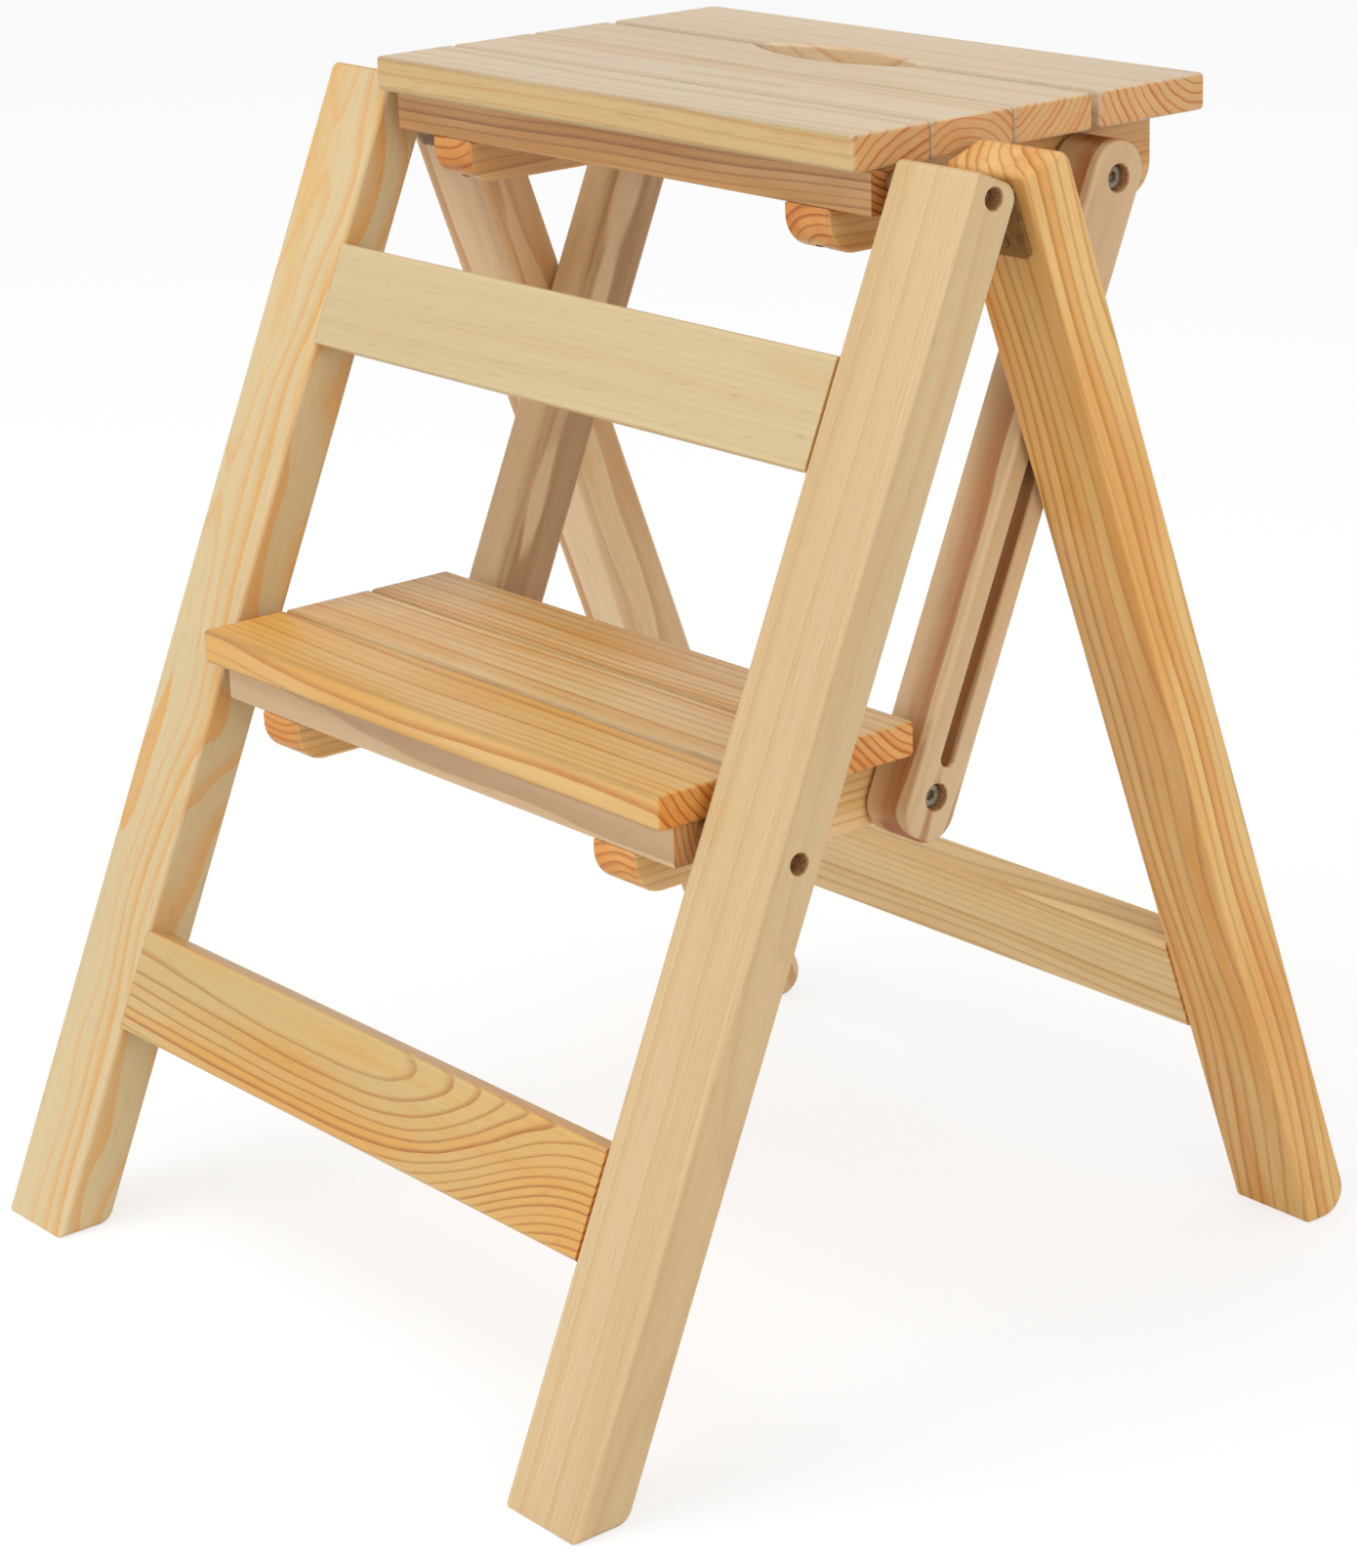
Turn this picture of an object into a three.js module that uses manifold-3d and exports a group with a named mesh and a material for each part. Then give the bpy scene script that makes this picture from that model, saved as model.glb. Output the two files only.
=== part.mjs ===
// Folding step stool in pine: a front frame, a rear frame hinged at its top, a seat and a lower step that
// turn on the front legs, and two side links that carry both of them and lift them together.
// Millimetres, +X to the right seen from the front, +Y to the back, +Z up.
// The origin is on the floor under the middle of the open stool.

import * as THREE from 'three';
import { mergeVertices } from 'three/addons/utils/BufferGeometryUtils.js';
import Module from 'manifold-3d';

const wasm = await Module();
wasm.setup();

// Front frame
const frameWidth = 406.4;
const legWidth = 44;
const legThickness = 23.7;
const frontLegTopHeight = 480;
const frontLean = THREE.MathUtils.degToRad(23.5);
const legEdgeRound = 2.6;
const frontLegTopBackRound = 7;
const frontLegTopFrontRound = 3;
const frontFootBackRound = 8;

// Rear frame
const rearFrameInset = 3.7;
const rearLean = THREE.MathUtils.degToRad(19.4);
const rearLegTopRise = 5;
const rearLegTopBackRound = 6;
const rearLegTopFrontRound = 3;
const rearFootBackRound = 11;

// Cross rails of both frames
const railWidth = 44.5;
const railThickness = 16;
const railEdgeRound = 1.6;
const upperRailBelowPivot = 68.5;
const lowerRailHeight = 88;
const rearRailHeight = 86.5;
const tenonThickness = 9;
const tenonWidth = 30;
const tenonDepth = 20;

// Pivots of the linkage
const seatPivotMargin = 7.5;
const stepPivotHeight = 237.66;
const linkPivotBack = 115.3;
const linkPivotDrop = 14.6;
const pivotBelowSlats = 5.6;

// Links
const linkThickness = 25;
const linkWidth = 26;
const linkTopExtra = 2;
const linkBottomExtra = 6;
const linkEdgeRound = 2;
const linkToRearLeg = 3.05;
const guidePinPlay = 1;
const grooveDepth = 8;
const grooveAboveStepPivot = 12.4;
const guidePinRadius = 3;
const guidePinDepth = 18;

// Slats, bearers and pivot rails of the seat and the step
const slatThickness = 14.5;
const slatEdgeRound = 1.8;
const slatCornerRound = 2.2;
const slatJoint = 0.5;
const seatSideGap = 8.1;
const seatFrontOverhang = 21.6;
const seatSlatWidths = [39.5, 42.5, 41.5, 58.5];
const seatRearCornerRound = 3;
const handSlotGap = 4;
const handSlotLength = 106;
const handSlotWidth = 30;
const stepSideGap = 5.75;
const stepFrontOverhang = 25.6;
const stepSlatWidths = [41.5, 44.5];
const stepToLink = 6.5;
const seatRailEndInset = 1.1;
const stepRailEndInset = 3.45;
const pivotRailSetback = 9.6;
const pivotRailThickness = 24;
const pivotRailHeight = 17.5;
const pivotRailEdgeRound = 1.2;
const bearerThickness = 26;
const bearerHeight = 36;
const bearerEdgeRound = 1.6;
const bearerEndRound = 14;
const bearerTopRearRound = 4;
const seatBearerRearInset = 4.8;
const stepBearerBehindPivot = 17;

// Pivot bolts of the seat and the step, with their bushes
const boltRadius = 3;
const pivotBoltHeadRadius = 3.6;
const pivotBoltHeadHeight = 4.2;
const pivotBoltToRecess = 1.85;
const pivotCounterboreRadius = 4.1;
const pivotCounterboreDepth = 10.5;
const bushRadius = 5;

// Bolts of the link pivots, with their washers and nuts
const linkBoltHeadRadius = 4.7;
const linkBoltHeadHeight = 4;
const linkCounterboreRadius = 5.4;
const linkCounterboreDepth = 7.4;
const socketRadius = 2.2;
const socketDepth = 2.4;
const washerRadius = 7;
const washerThickness = 1.2;
const nutRadius = 5.8;
const nutThickness = 5;
const boltEndPastNut = 1.5;

// Holes of the slat screws, which are driven from below through the bearers
const screwHoleRadius = 2.3;
const screwRecessRadius = 4.2;
const screwRecessDepth = 13;
const screwBite = 9;

// Hinges between the two frames
const hingeAxisDrop = 1.5;
const hingeAxisOffset = 4;
const hingeWidth = 26;
const hingeLeafLength = 30;
const hingeLeafThickness = 1.5;
const knuckleRadius = 3;
const hingePinRadius = 1.4;
const hingeScrewShares = [0.357, 0.78];
const frontKnuckleShares = [[0, 0.32], [0.68, 1]];
const rearKnuckleShares = [[0.34, 0.66]];
const hingeScrewRadius = 1.5;
const hingeScrewHeadRadius = 3.2;
const hingeScrewLength = 14;

// Clearance of fixed pieces, clearance of turning pieces, and the overrun of a cut
const fitGap = 0.3;
const runningGap = 0.3;
const overrun = 1;

// Facets
const boreSegments = 20;
const smallBoreSegments = 12;
const handSlotSegments = 14;
const hexSides = 6;
const cornerSegments = 3;
const edgeSegments = 2;
const linkEndSegments = 7;

// Colours
const legPine = 0xe3c795;
const railPine = 0xdfbf86;
const rearPine = 0xcfa468;
const linkPine = 0xc79f68;
const seatPine = 0xdcc9ac;
const stepPine = 0xd9ad72;
const shadePine = 0xbd9364;
const steel = 0x9a9a98;
const woodRoughness = 0.62;
const steelRoughness = 0.38;
const steelMetalness = 0.9;

const sides = [{ side: 'left', sign: -1 }, { side: 'right', sign: 1 }];

// Places across the stool, from the sizes above
const frameHalf = frameWidth / 2;
const frontLegInner = frameHalf - legWidth;
const rearLegOuter = frameHalf - rearFrameInset;
const rearLegInner = rearLegOuter - legWidth;
const linkOuter = rearLegInner - linkToRearLeg;
const linkInner = linkOuter - linkThickness;
const bearerOuter = linkInner - washerThickness - runningGap;
const bearerInner = bearerOuter - bearerThickness;
const bearerMiddle = (bearerInner + bearerOuter) / 2;
const seatHalf = frontLegInner - seatSideGap;
const stepHalf = frontLegInner - stepSideGap;
const hingeMiddle = (frontLegInner + rearLegOuter) / 2;

// Places along the front leg, which the front frame's group leans
const frontLegLength = frontLegTopHeight / Math.cos(frontLean);
const seatPivotAlong = frontLegLength - seatPivotMargin;
const pivotDepth = legThickness / 2;
const stepPivotAlong = (stepPivotHeight + pivotDepth * Math.sin(frontLean)) / Math.cos(frontLean);
const pivotSpacing = seatPivotAlong - stepPivotAlong;
const hingeAlong = frontLegLength - hingeAxisDrop;
const hingeBehind = legThickness + hingeAxisOffset;

/** A solid from a closed three.js geometry. */
function solidOf(geometry) {
  const bare = geometry.clone();
  bare.deleteAttribute('normal');
  bare.deleteAttribute('uv');
  const merged = mergeVertices(bare);
  return new wasm.Manifold(new wasm.Mesh({
    numProp: 3,
    vertProperties: new Float32Array(merged.getAttribute('position').array),
    triVerts: new Uint32Array(merged.getIndex().array),
  }));
}

/** A flat-shaded geometry from a solid. */
function geometryOf(solid) {
  const mesh = solid.getMesh();
  const shared = new THREE.BufferGeometry();
  shared.setAttribute('position', new THREE.BufferAttribute(mesh.vertProperties, 3));
  shared.setIndex(new THREE.BufferAttribute(mesh.triVerts, 1));
  const faceted = shared.toNonIndexed();
  faceted.computeVertexNormals();
  return faceted;
}

const join = (solids) => solids.reduce((whole, solid) => whole.add(solid));
const cut = (solid, tools) => tools.reduce((rest, tool) => rest.subtract(tool), solid);

/** A turned bar along x or z from one end to the other; the other two places are given in axis order. */
function bar(axis, radius, ends, places, segments = boreSegments) {
  const low = Math.min(...ends);
  const high = Math.max(...ends);
  const middle = (low + high) / 2;
  const geometry = new THREE.CylinderGeometry(radius, radius, high - low, segments);
  if (axis === 'x') geometry.rotateZ(Math.PI / 2).translate(middle, ...places);
  if (axis === 'z') geometry.rotateX(Math.PI / 2).translate(...places, middle);
  return solidOf(geometry);
}

/** An outline through the corners, counterclockwise, each corner given as [across, up, radius]. */
function roundedOutline(corners) {
  const shape = new THREE.Shape();
  corners.forEach(([across, up, radius = 0], i) => {
    const here = new THREE.Vector2(across, up);
    const before = new THREE.Vector2(...corners.at(i - 1)).sub(here).normalize();
    const after = new THREE.Vector2(...corners[(i + 1) % corners.length]).sub(here).normalize();
    const halfAngle = Math.acos(before.dot(after)) / 2;
    const reach = radius / Math.tan(halfAngle);
    const start = before.clone().multiplyScalar(reach).add(here);
    if (i === 0) shape.moveTo(start.x, start.y);
    else shape.lineTo(start.x, start.y);
    if (radius > 0) {
      const centre = before.clone().add(after).normalize();
      centre.multiplyScalar(radius / Math.sin(halfAngle)).add(here);
      const end = after.clone().multiplyScalar(reach).add(here);
      const from = start.sub(centre).angle();
      const to = end.sub(centre).angle();
      shape.absarc(centre.x, centre.y, radius, from, to, before.cross(after) > 0);
    }
  });
  shape.closePath();
  return shape;
}

/** An extrusion whose long edges are rounded without making the outline larger. */
function roundedExtrusion(shape, depth, edge, curveSegments) {
  return new THREE.ExtrudeGeometry(shape, {
    depth: depth - 2 * edge,
    bevelEnabled: edge > 0,
    bevelThickness: edge,
    bevelSize: edge,
    bevelOffset: -edge,
    bevelSegments: edgeSegments,
    curveSegments,
  }).translate(0, 0, edge);
}

/** A piece with an outline drawn in the side view (back, up), between two places across the stool. */
function sidePiece(shape, ends, edge, curveSegments = cornerSegments) {
  const low = Math.min(...ends);
  const depth = Math.max(...ends) - low;
  const toSide = new THREE.Matrix4().makeBasis(
    new THREE.Vector3(0, 1, 0),
    new THREE.Vector3(0, 0, 1),
    new THREE.Vector3(1, 0, 0),
  );
  const geometry = roundedExtrusion(shape, depth, edge, curveSegments);
  return solidOf(geometry.applyMatrix4(toSide).translate(low, 0, 0));
}

/** A piece with an outline drawn in the plan view (right, back), standing on the given height. */
function planPiece(shape, bottom, height, edge) {
  return solidOf(roundedExtrusion(shape, height, edge, edgeSegments).translate(0, 0, bottom));
}

/** A named mesh with its own material, added to its group. */
function place(group, name, solid, color, metalness = 0, roughness = woodRoughness) {
  const material = new THREE.MeshStandardMaterial({ color, metalness, roughness });
  const mesh = new THREE.Mesh(geometryOf(solid), material);
  mesh.name = name;
  group.add(mesh);
}

const placeSteel = (group, name, solid) =>
  place(group, name, solid, steel, steelMetalness, steelRoughness);

// Groups: each body turns about its own group's origin
const stool = new THREE.Group();
const frontFrame = new THREE.Group();
const rearFrame = new THREE.Group();
const seat = new THREE.Group();
const step = new THREE.Group();
frontFrame.rotation.x = -frontLean;
rearFrame.position.set(0, hingeBehind, hingeAlong);
rearFrame.rotation.x = frontLean + rearLean;
stool.add(frontFrame, seat, step);
frontFrame.add(rearFrame);

const xAxis = new THREE.Vector3(1, 0, 0);
/** A point of the leaning front frame, in the level frame of the stool. */
const levelPoint = (behind, along) => new THREE.Vector3(0, behind, along).applyAxisAngle(xAxis, -frontLean);

seat.position.copy(levelPoint(pivotDepth, seatPivotAlong));
step.position.copy(levelPoint(pivotDepth, stepPivotAlong));

// Cross rails, which stand between the legs of a frame with a tenon in each leg
/** A box drawn in the side view from its middle, between two places across the stool. */
function block(behind, along, thickness, width, ends) {
  return sidePiece(roundedOutline([
    [behind - thickness / 2, along - width / 2],
    [behind + thickness / 2, along - width / 2],
    [behind + thickness / 2, along + width / 2],
    [behind - thickness / 2, along + width / 2],
  ]), ends, 0);
}

/** One cross rail with its tenons, and the mortises that the tenons need in the legs. */
function crossRail(front, bottom, legInner) {
  const outline = roundedOutline([
    [front, bottom, railEdgeRound],
    [front + railThickness, bottom, railEdgeRound],
    [front + railThickness, bottom + railWidth, railEdgeRound],
    [front, bottom + railWidth, railEdgeRound],
  ]);
  const middle = [front + railThickness / 2, bottom + railWidth / 2];
  const reach = legInner + tenonDepth;
  const tenons = block(...middle, tenonThickness, tenonWidth, [-reach, reach]);
  const mortises = sides.map(({ sign }) => block(
    ...middle,
    tenonThickness + 2 * fitGap,
    tenonWidth + 2 * fitGap,
    [sign * (legInner - overrun), sign * (reach + fitGap)],
  ));
  const board = sidePiece(outline, [-legInner, legInner], 0, edgeSegments);
  return { rail: board.add(tenons), mortises };
}

/** Height along a leaning front leg of a point on its front face at a height above the floor. */
const alongFront = (height) => height / Math.cos(frontLean);

/** Place along the rear frame, from its hinge, of a point at a height above the floor. */
function alongRear(behind, height) {
  const hingeHeight = levelPoint(hingeBehind, hingeAlong).z;
  return (height - hingeHeight - behind * Math.sin(rearLean)) / Math.cos(rearLean);
}

const rearLegFront = hingeAxisOffset;
const rearLegBack = rearLegFront + legThickness;
const upperRailAlong = seatPivotAlong - upperRailBelowPivot - railWidth;
const upperRail = crossRail(0, upperRailAlong, frontLegInner);
const lowerRail = crossRail(0, alongFront(lowerRailHeight), frontLegInner);
const rearRail = crossRail(rearLegFront, alongRear(rearLegFront, rearRailHeight), rearLegInner);

// Hinges: one leaf on the back of the front leg, one on the front of the rear leg
/** A countersunk hinge screw along y with its head flush at headFace, or its hole, larger by the gap. */
function hingeScrew(gap, headFace, inward, across, along) {
  const profile = [
    [0, -gap],
    [hingeScrewHeadRadius + gap, -gap],
    [hingeScrewHeadRadius + gap, 0],
    [hingeScrewRadius + gap, hingeLeafThickness + gap],
    [hingeScrewRadius + gap, hingeScrewLength + gap],
    [0, hingeScrewLength + gap],
  ].map(([radius, depth]) => new THREE.Vector2(radius, inward * depth));
  if (inward < 0) profile.reverse();
  return solidOf(new THREE.LatheGeometry(profile, smallBoreSegments).translate(across, headFace, along));
}

/** One leaf: a plate fitGap off the wood, with knuckles about the hinge axis at the given stretches. */
function hingeLeaf(wood, toAxis, axis, stretches, middle) {
  const near = wood + toAxis * fitGap;
  const far = near + toAxis * hingeLeafThickness;
  const across = [middle - hingeWidth / 2, middle + hingeWidth / 2];
  const clearEnd = axis.along - knuckleRadius - fitGap;
  const plate = (top) => roundedOutline([
    [Math.min(near, far), axis.along - hingeLeafLength],
    [Math.max(near, far), axis.along - hingeLeafLength],
    [Math.max(near, far), top],
    [Math.min(near, far), top],
  ]);
  const pieces = [sidePiece(plate(clearEnd), across, 0)];
  for (const stretch of stretches) {
    const ends = stretch.map((share) => across[0] + share * hingeWidth);
    pieces.push(sidePiece(plate(axis.along), ends, 0));
    pieces.push(bar('x', knuckleRadius, ends, [axis.behind, axis.along]));
  }
  const pinHole = [across[0] - overrun, across[1] + overrun];
  const bore = bar('x', hingePinRadius + fitGap, pinHole, [axis.behind, axis.along]);
  return { leaf: cut(join(pieces), [bore]), headFace: far };
}

const frontHingeAxis = { behind: hingeBehind, along: hingeAlong };
const rearHingeAxis = { behind: 0, along: 0 };

// Where the link's middle line and the rear leg's middle line cross in the open stool
/** Distances along two lines of the side view, from their starts, to the point where they cross. */
function crossing(start, direction, otherStart, otherDirection) {
  const cross = (a, b) => a.y * b.z - a.z * b.y;
  const between = otherStart.clone().sub(start);
  const turn = cross(direction, otherDirection);
  return [cross(between, otherDirection) / turn, cross(between, direction) / turn];
}

const down = new THREE.Vector3(0, 0, -1);
const rearLegMiddle = (rearLegFront + rearLegBack) / 2;
const linkTop = new THREE.Vector3(0, linkPivotBack, -linkPivotDrop).add(seat.position);
const rearLegTop = new THREE.Vector3(0, rearLegMiddle, 0)
  .applyAxisAngle(xAxis, rearLean)
  .add(levelPoint(hingeBehind, hingeAlong));
const [pinBelowLinkPivot, pinBelowHinge] = crossing(
  linkTop,
  down.clone().applyAxisAngle(xAxis, -frontLean),
  rearLegTop,
  down.clone().applyAxisAngle(xAxis, rearLean),
);

// Front frame
for (const { side, sign } of sides) {
  const outline = roundedOutline([
    [0, 0],
    [legThickness, legThickness * Math.tan(frontLean), frontFootBackRound],
    [legThickness, frontLegLength, frontLegTopBackRound],
    [0, frontLegLength, frontLegTopFrontRound],
  ]);
  const middle = sign * hingeMiddle;
  const holes = [...upperRail.mortises, ...lowerRail.mortises];
  for (const along of [seatPivotAlong, stepPivotAlong]) {
    const through = [sign * (frontLegInner - overrun), sign * (frameHalf + overrun)];
    const sunk = [sign * (frameHalf - pivotCounterboreDepth), sign * (frameHalf + overrun)];
    holes.push(bar('x', boltRadius + runningGap, through, [pivotDepth, along]));
    holes.push(bar('x', pivotCounterboreRadius, sunk, [pivotDepth, along]));
  }
  const { leaf, headFace } = hingeLeaf(legThickness, 1, frontHingeAxis, frontKnuckleShares, middle);
  const screws = hingeScrewShares.map((share) => (gap) =>
    hingeScrew(gap, headFace, -1, middle, frontHingeAxis.along - share * hingeLeafLength));
  const screwHoles = screws.map((screw) => screw(fitGap));
  const leg = sidePiece(outline, [sign * frontLegInner, sign * frameHalf], legEdgeRound);
  place(frontFrame, `front_leg_${side}`, cut(leg, [...holes, ...screwHoles]), legPine);
  placeSteel(frontFrame, `hinge_front_leaf_${side}`, cut(leaf, screwHoles));
  screws.forEach((screw, i) => placeSteel(frontFrame, `hinge_front_screw_${side}_${i + 1}`, screw(0)));
  const pinEnds = [middle - hingeWidth / 2, middle + hingeWidth / 2];
  const pin = bar('x', hingePinRadius, pinEnds, [hingeBehind, hingeAlong], smallBoreSegments);
  placeSteel(frontFrame, `hinge_pin_${side}`, pin);
}
place(frontFrame, 'front_upper_rail', upperRail.rail, railPine);
place(frontFrame, 'front_lower_rail', lowerRail.rail, railPine);

// Rear frame
for (const { side, sign } of sides) {
  const outline = roundedOutline([
    [rearLegFront, alongRear(rearLegFront, 0)],
    [rearLegBack, alongRear(rearLegBack, 0), rearFootBackRound],
    [rearLegBack, rearLegTopRise, rearLegTopBackRound],
    [rearLegFront, rearLegTopRise, rearLegTopFrontRound],
  ]);
  const middle = sign * hingeMiddle;
  const { leaf, headFace } = hingeLeaf(rearLegFront, -1, rearHingeAxis, rearKnuckleShares, middle);
  const screws = hingeScrewShares.map((share) => (gap) =>
    hingeScrew(gap, headFace, 1, middle, rearHingeAxis.along - share * hingeLeafLength));
  const screwHoles = screws.map((screw) => screw(fitGap));
  const pinPlaces = [rearLegMiddle, -pinBelowHinge];
  const pinTip = sign * (rearLegInner - linkToRearLeg + runningGap);
  const pinRoot = sign * (rearLegInner + guidePinDepth);
  const pinHole = [sign * (rearLegInner - overrun), pinRoot + sign * fitGap];
  const pin = bar('x', guidePinRadius, [pinTip, pinRoot], pinPlaces, smallBoreSegments);
  const leg = sidePiece(outline, [sign * rearLegInner, sign * rearLegOuter], legEdgeRound);
  const holes = [
    ...rearRail.mortises,
    ...screwHoles,
    bar('x', guidePinRadius + fitGap, pinHole, pinPlaces, smallBoreSegments),
  ];
  place(rearFrame, `rear_leg_${side}`, cut(leg, holes), rearPine);
  placeSteel(rearFrame, `hinge_rear_leaf_${side}`, cut(leaf, screwHoles));
  screws.forEach((screw, i) => placeSteel(rearFrame, `hinge_rear_screw_${side}_${i + 1}`, screw(0)));
  placeSteel(rearFrame, `guide_pin_${side}`, pin);
}
place(rearFrame, 'rear_cross_rail', rearRail.rail, shadePine);

// Links: each hangs from the seat's rear pivot, with the guide pin's groove in its outer face
/** An upright outline with round ends, its end circles centred at the two heights. */
function roundEndedOutline(radius, low, high) {
  const shape = new THREE.Shape();
  shape.absarc(0, high, radius, 0, Math.PI, false);
  shape.absarc(0, low, radius, Math.PI, 2 * Math.PI, false);
  return shape;
}

for (const { side, sign } of sides) {
  const link = new THREE.Group();
  link.position.set(0, linkPivotBack, -linkPivotDrop);
  link.rotation.x = -frontLean;
  seat.add(link);
  const outline = roundEndedOutline(linkWidth / 2, -pivotSpacing - linkBottomExtra, linkTopExtra);
  const grooveRadius = guidePinRadius + guidePinPlay / 2;
  const grooveLow = -pivotSpacing + grooveAboveStepPivot + grooveRadius;
  const groove = roundEndedOutline(grooveRadius, grooveLow, -pinBelowLinkPivot);
  const outside = sign * (linkOuter + overrun);
  const holes = [sidePiece(groove, [sign * (linkOuter - grooveDepth), outside], 0)];
  for (const along of [0, -pivotSpacing]) {
    const sunk = [sign * (linkOuter - linkCounterboreDepth), outside];
    holes.push(bar('x', boltRadius + runningGap, [sign * (linkInner - overrun), outside], [0, along]));
    holes.push(bar('x', linkCounterboreRadius, sunk, [0, along]));
  }
  const body = sidePiece(outline, [sign * linkInner, sign * linkOuter], linkEdgeRound, linkEndSegments);
  place(link, `link_${side}`, cut(body, holes), linkPine);
}

// Seat and step, each drawn from its own pivot
const slatsBottom = pivotBelowSlats;
const bearerBottom = slatsBottom - bearerHeight;
const pivotRailBottom = slatsBottom - pivotRailHeight;

/** The points of the hand slot's edge in one slat; toward is -1 in the slat in front of it, 1 behind. */
function handSlotEdge(middle, toward) {
  const bow = handSlotWidth / 2;
  const radius = (handSlotLength ** 2 + handSlotWidth ** 2) / (4 * handSlotWidth);
  const reach = Math.acos((radius - bow + handSlotGap / 2) / radius);
  const points = [];
  for (let k = 0; k <= handSlotSegments; k += 1) {
    const angle = reach * (1 - (2 * k) / handSlotSegments);
    const back = middle + toward * (bow - radius + radius * Math.cos(angle));
    points.push([-toward * radius * Math.sin(angle), back]);
  }
  return points;
}

/** The front and the back of each slat of a deck, from its widths and the joints behind them. */
function slatPlaces(frontOverhang, widths, joints) {
  let front = -frontOverhang;
  return widths.map((width, i) => {
    const slat = { front, back: front + width };
    front = slat.back + (joints[i] ?? 0);
    return slat;
  });
}

/** Hex-socket bolt along x: its head between two places, its shank going on to the tip. */
function socketBolt(sign, headRadius, headBottom, headTop, tip, places) {
  const head = bar('x', headRadius, [sign * headBottom, sign * headTop], places);
  const shank = bar('x', boltRadius, [sign * tip, sign * headTop], places, smallBoreSegments);
  const socketEnds = [sign * (headTop - socketDepth), sign * (headTop + overrun)];
  return cut(head.add(shank), [bar('x', socketRadius, socketEnds, places, hexSides)]);
}

/** A ring along x: bush, washer or nut. */
function ring(radius, ends, places, segments) {
  const long = [Math.min(...ends) - overrun, Math.max(...ends) + overrun];
  const hole = bar('x', boltRadius + fitGap, long, places, smallBoreSegments);
  return cut(bar('x', radius, ends, places, segments), [hole]);
}

/** The holes of one slat screw: its recess in the bearer's underside and its way up into the slat. */
function slatScrewHole(places) {
  const recessTop = bearerBottom + screwRecessDepth;
  const recess = bar('z', screwRecessRadius, [bearerBottom - overrun, recessTop], places, smallBoreSegments);
  const way = bar('z', screwHoleRadius, [bearerBottom, slatsBottom + screwBite], places, smallBoreSegments);
  return recess.add(way);
}

/** All the pieces of the seat or the step. */
function buildDeck(group, name, { slats, outlines, pine, railEnd, bearerBack }) {
  const pivotRailFront = slats[0].front + pivotRailSetback;
  const pivotRailBack = pivotRailFront + pivotRailThickness;
  const linkPivot = [linkPivotBack, -linkPivotDrop];
  const screwHoles = sides.flatMap(({ sign }) =>
    slats.map(({ front, back }) => slatScrewHole([sign * bearerMiddle, (front + back) / 2])));

  slats.forEach((slat, i) => {
    const board = planPiece(outlines[i], slatsBottom, slatThickness, slatEdgeRound);
    place(group, `${name}_slat_${i + 1}`, cut(board, screwHoles), pine);
  });

  const railOutline = roundedOutline([
    [pivotRailFront, pivotRailBottom, pivotRailEdgeRound],
    [pivotRailBack, pivotRailBottom, pivotRailEdgeRound],
    [pivotRailBack, slatsBottom, pivotRailEdgeRound],
    [pivotRailFront, slatsBottom, pivotRailEdgeRound],
  ]);
  const bearerOutline = roundedOutline([
    [pivotRailFront, bearerBottom, bearerEndRound],
    [bearerBack, bearerBottom, bearerEndRound],
    [bearerBack, slatsBottom, bearerTopRearRound],
    [pivotRailBack, slatsBottom],
    [pivotRailBack, pivotRailBottom],
    [pivotRailFront, pivotRailBottom],
  ]);
  const railHoles = [...screwHoles];
  for (const { side, sign } of sides) {
    const tip = bearerMiddle + screwRecessRadius + pivotBoltToRecess;
    const boltHole = [sign * (tip - fitGap), sign * (railEnd + overrun)];
    railHoles.push(bar('x', boltRadius + fitGap, boltHole, [0, 0], smallBoreSegments));
    const headBottom = frameHalf - pivotCounterboreDepth + runningGap;
    const headTop = headBottom + pivotBoltHeadHeight;
    const pivotBolt = socketBolt(sign, pivotBoltHeadRadius, headBottom, headTop, tip, [0, 0]);
    placeSteel(group, `${name}_pivot_bolt_${side}`, pivotBolt);
    const bushEnds = [sign * railEnd, sign * (frontLegInner - runningGap)];
    placeSteel(group, `${name}_pivot_bush_${side}`, ring(bushRadius, bushEnds, [0, 0], boreSegments));

    const linkHeadBottom = linkOuter - linkCounterboreDepth + runningGap;
    const linkHeadTop = linkHeadBottom + linkBoltHeadHeight;
    const nutInner = bearerInner - nutThickness;
    const linkTip = nutInner - boltEndPastNut;
    const linkBolt = socketBolt(sign, linkBoltHeadRadius, linkHeadBottom, linkHeadTop, linkTip, linkPivot);
    placeSteel(group, `${name}_link_bolt_${side}`, linkBolt);
    const washerEnds = [sign * bearerOuter, sign * (bearerOuter + washerThickness)];
    placeSteel(group, `${name}_link_washer_${side}`, ring(washerRadius, washerEnds, linkPivot, boreSegments));
    const nut = ring(nutRadius, [sign * bearerInner, sign * nutInner], linkPivot, hexSides);
    placeSteel(group, `${name}_link_nut_${side}`, nut);

    const linkHole = [sign * (bearerInner - overrun), sign * (bearerOuter + overrun)];
    const bearer = sidePiece(bearerOutline, [sign * bearerInner, sign * bearerOuter], bearerEdgeRound);
    const bearerHoles = [...screwHoles, bar('x', boltRadius + fitGap, linkHole, linkPivot)];
    place(group, `${name}_bearer_${side}`, cut(bearer, bearerHoles), shadePine);
  }
  const rail = sidePiece(railOutline, [-railEnd, railEnd], 0, edgeSegments);
  place(group, `${name}_pivot_rail`, cut(rail, railHoles), shadePine);
}

/** A slat's plan outline: its corners from the front left, with other edges put in for a cut-out. */
function slatOutline(half, { front, back }, rearRound, frontEdge = [], rearEdge = []) {
  return roundedOutline([
    [-half, front, slatCornerRound],
    ...frontEdge,
    [half, front, slatCornerRound],
    [half, back, rearRound],
    ...rearEdge,
    [-half, back, rearRound],
  ]);
}

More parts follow.
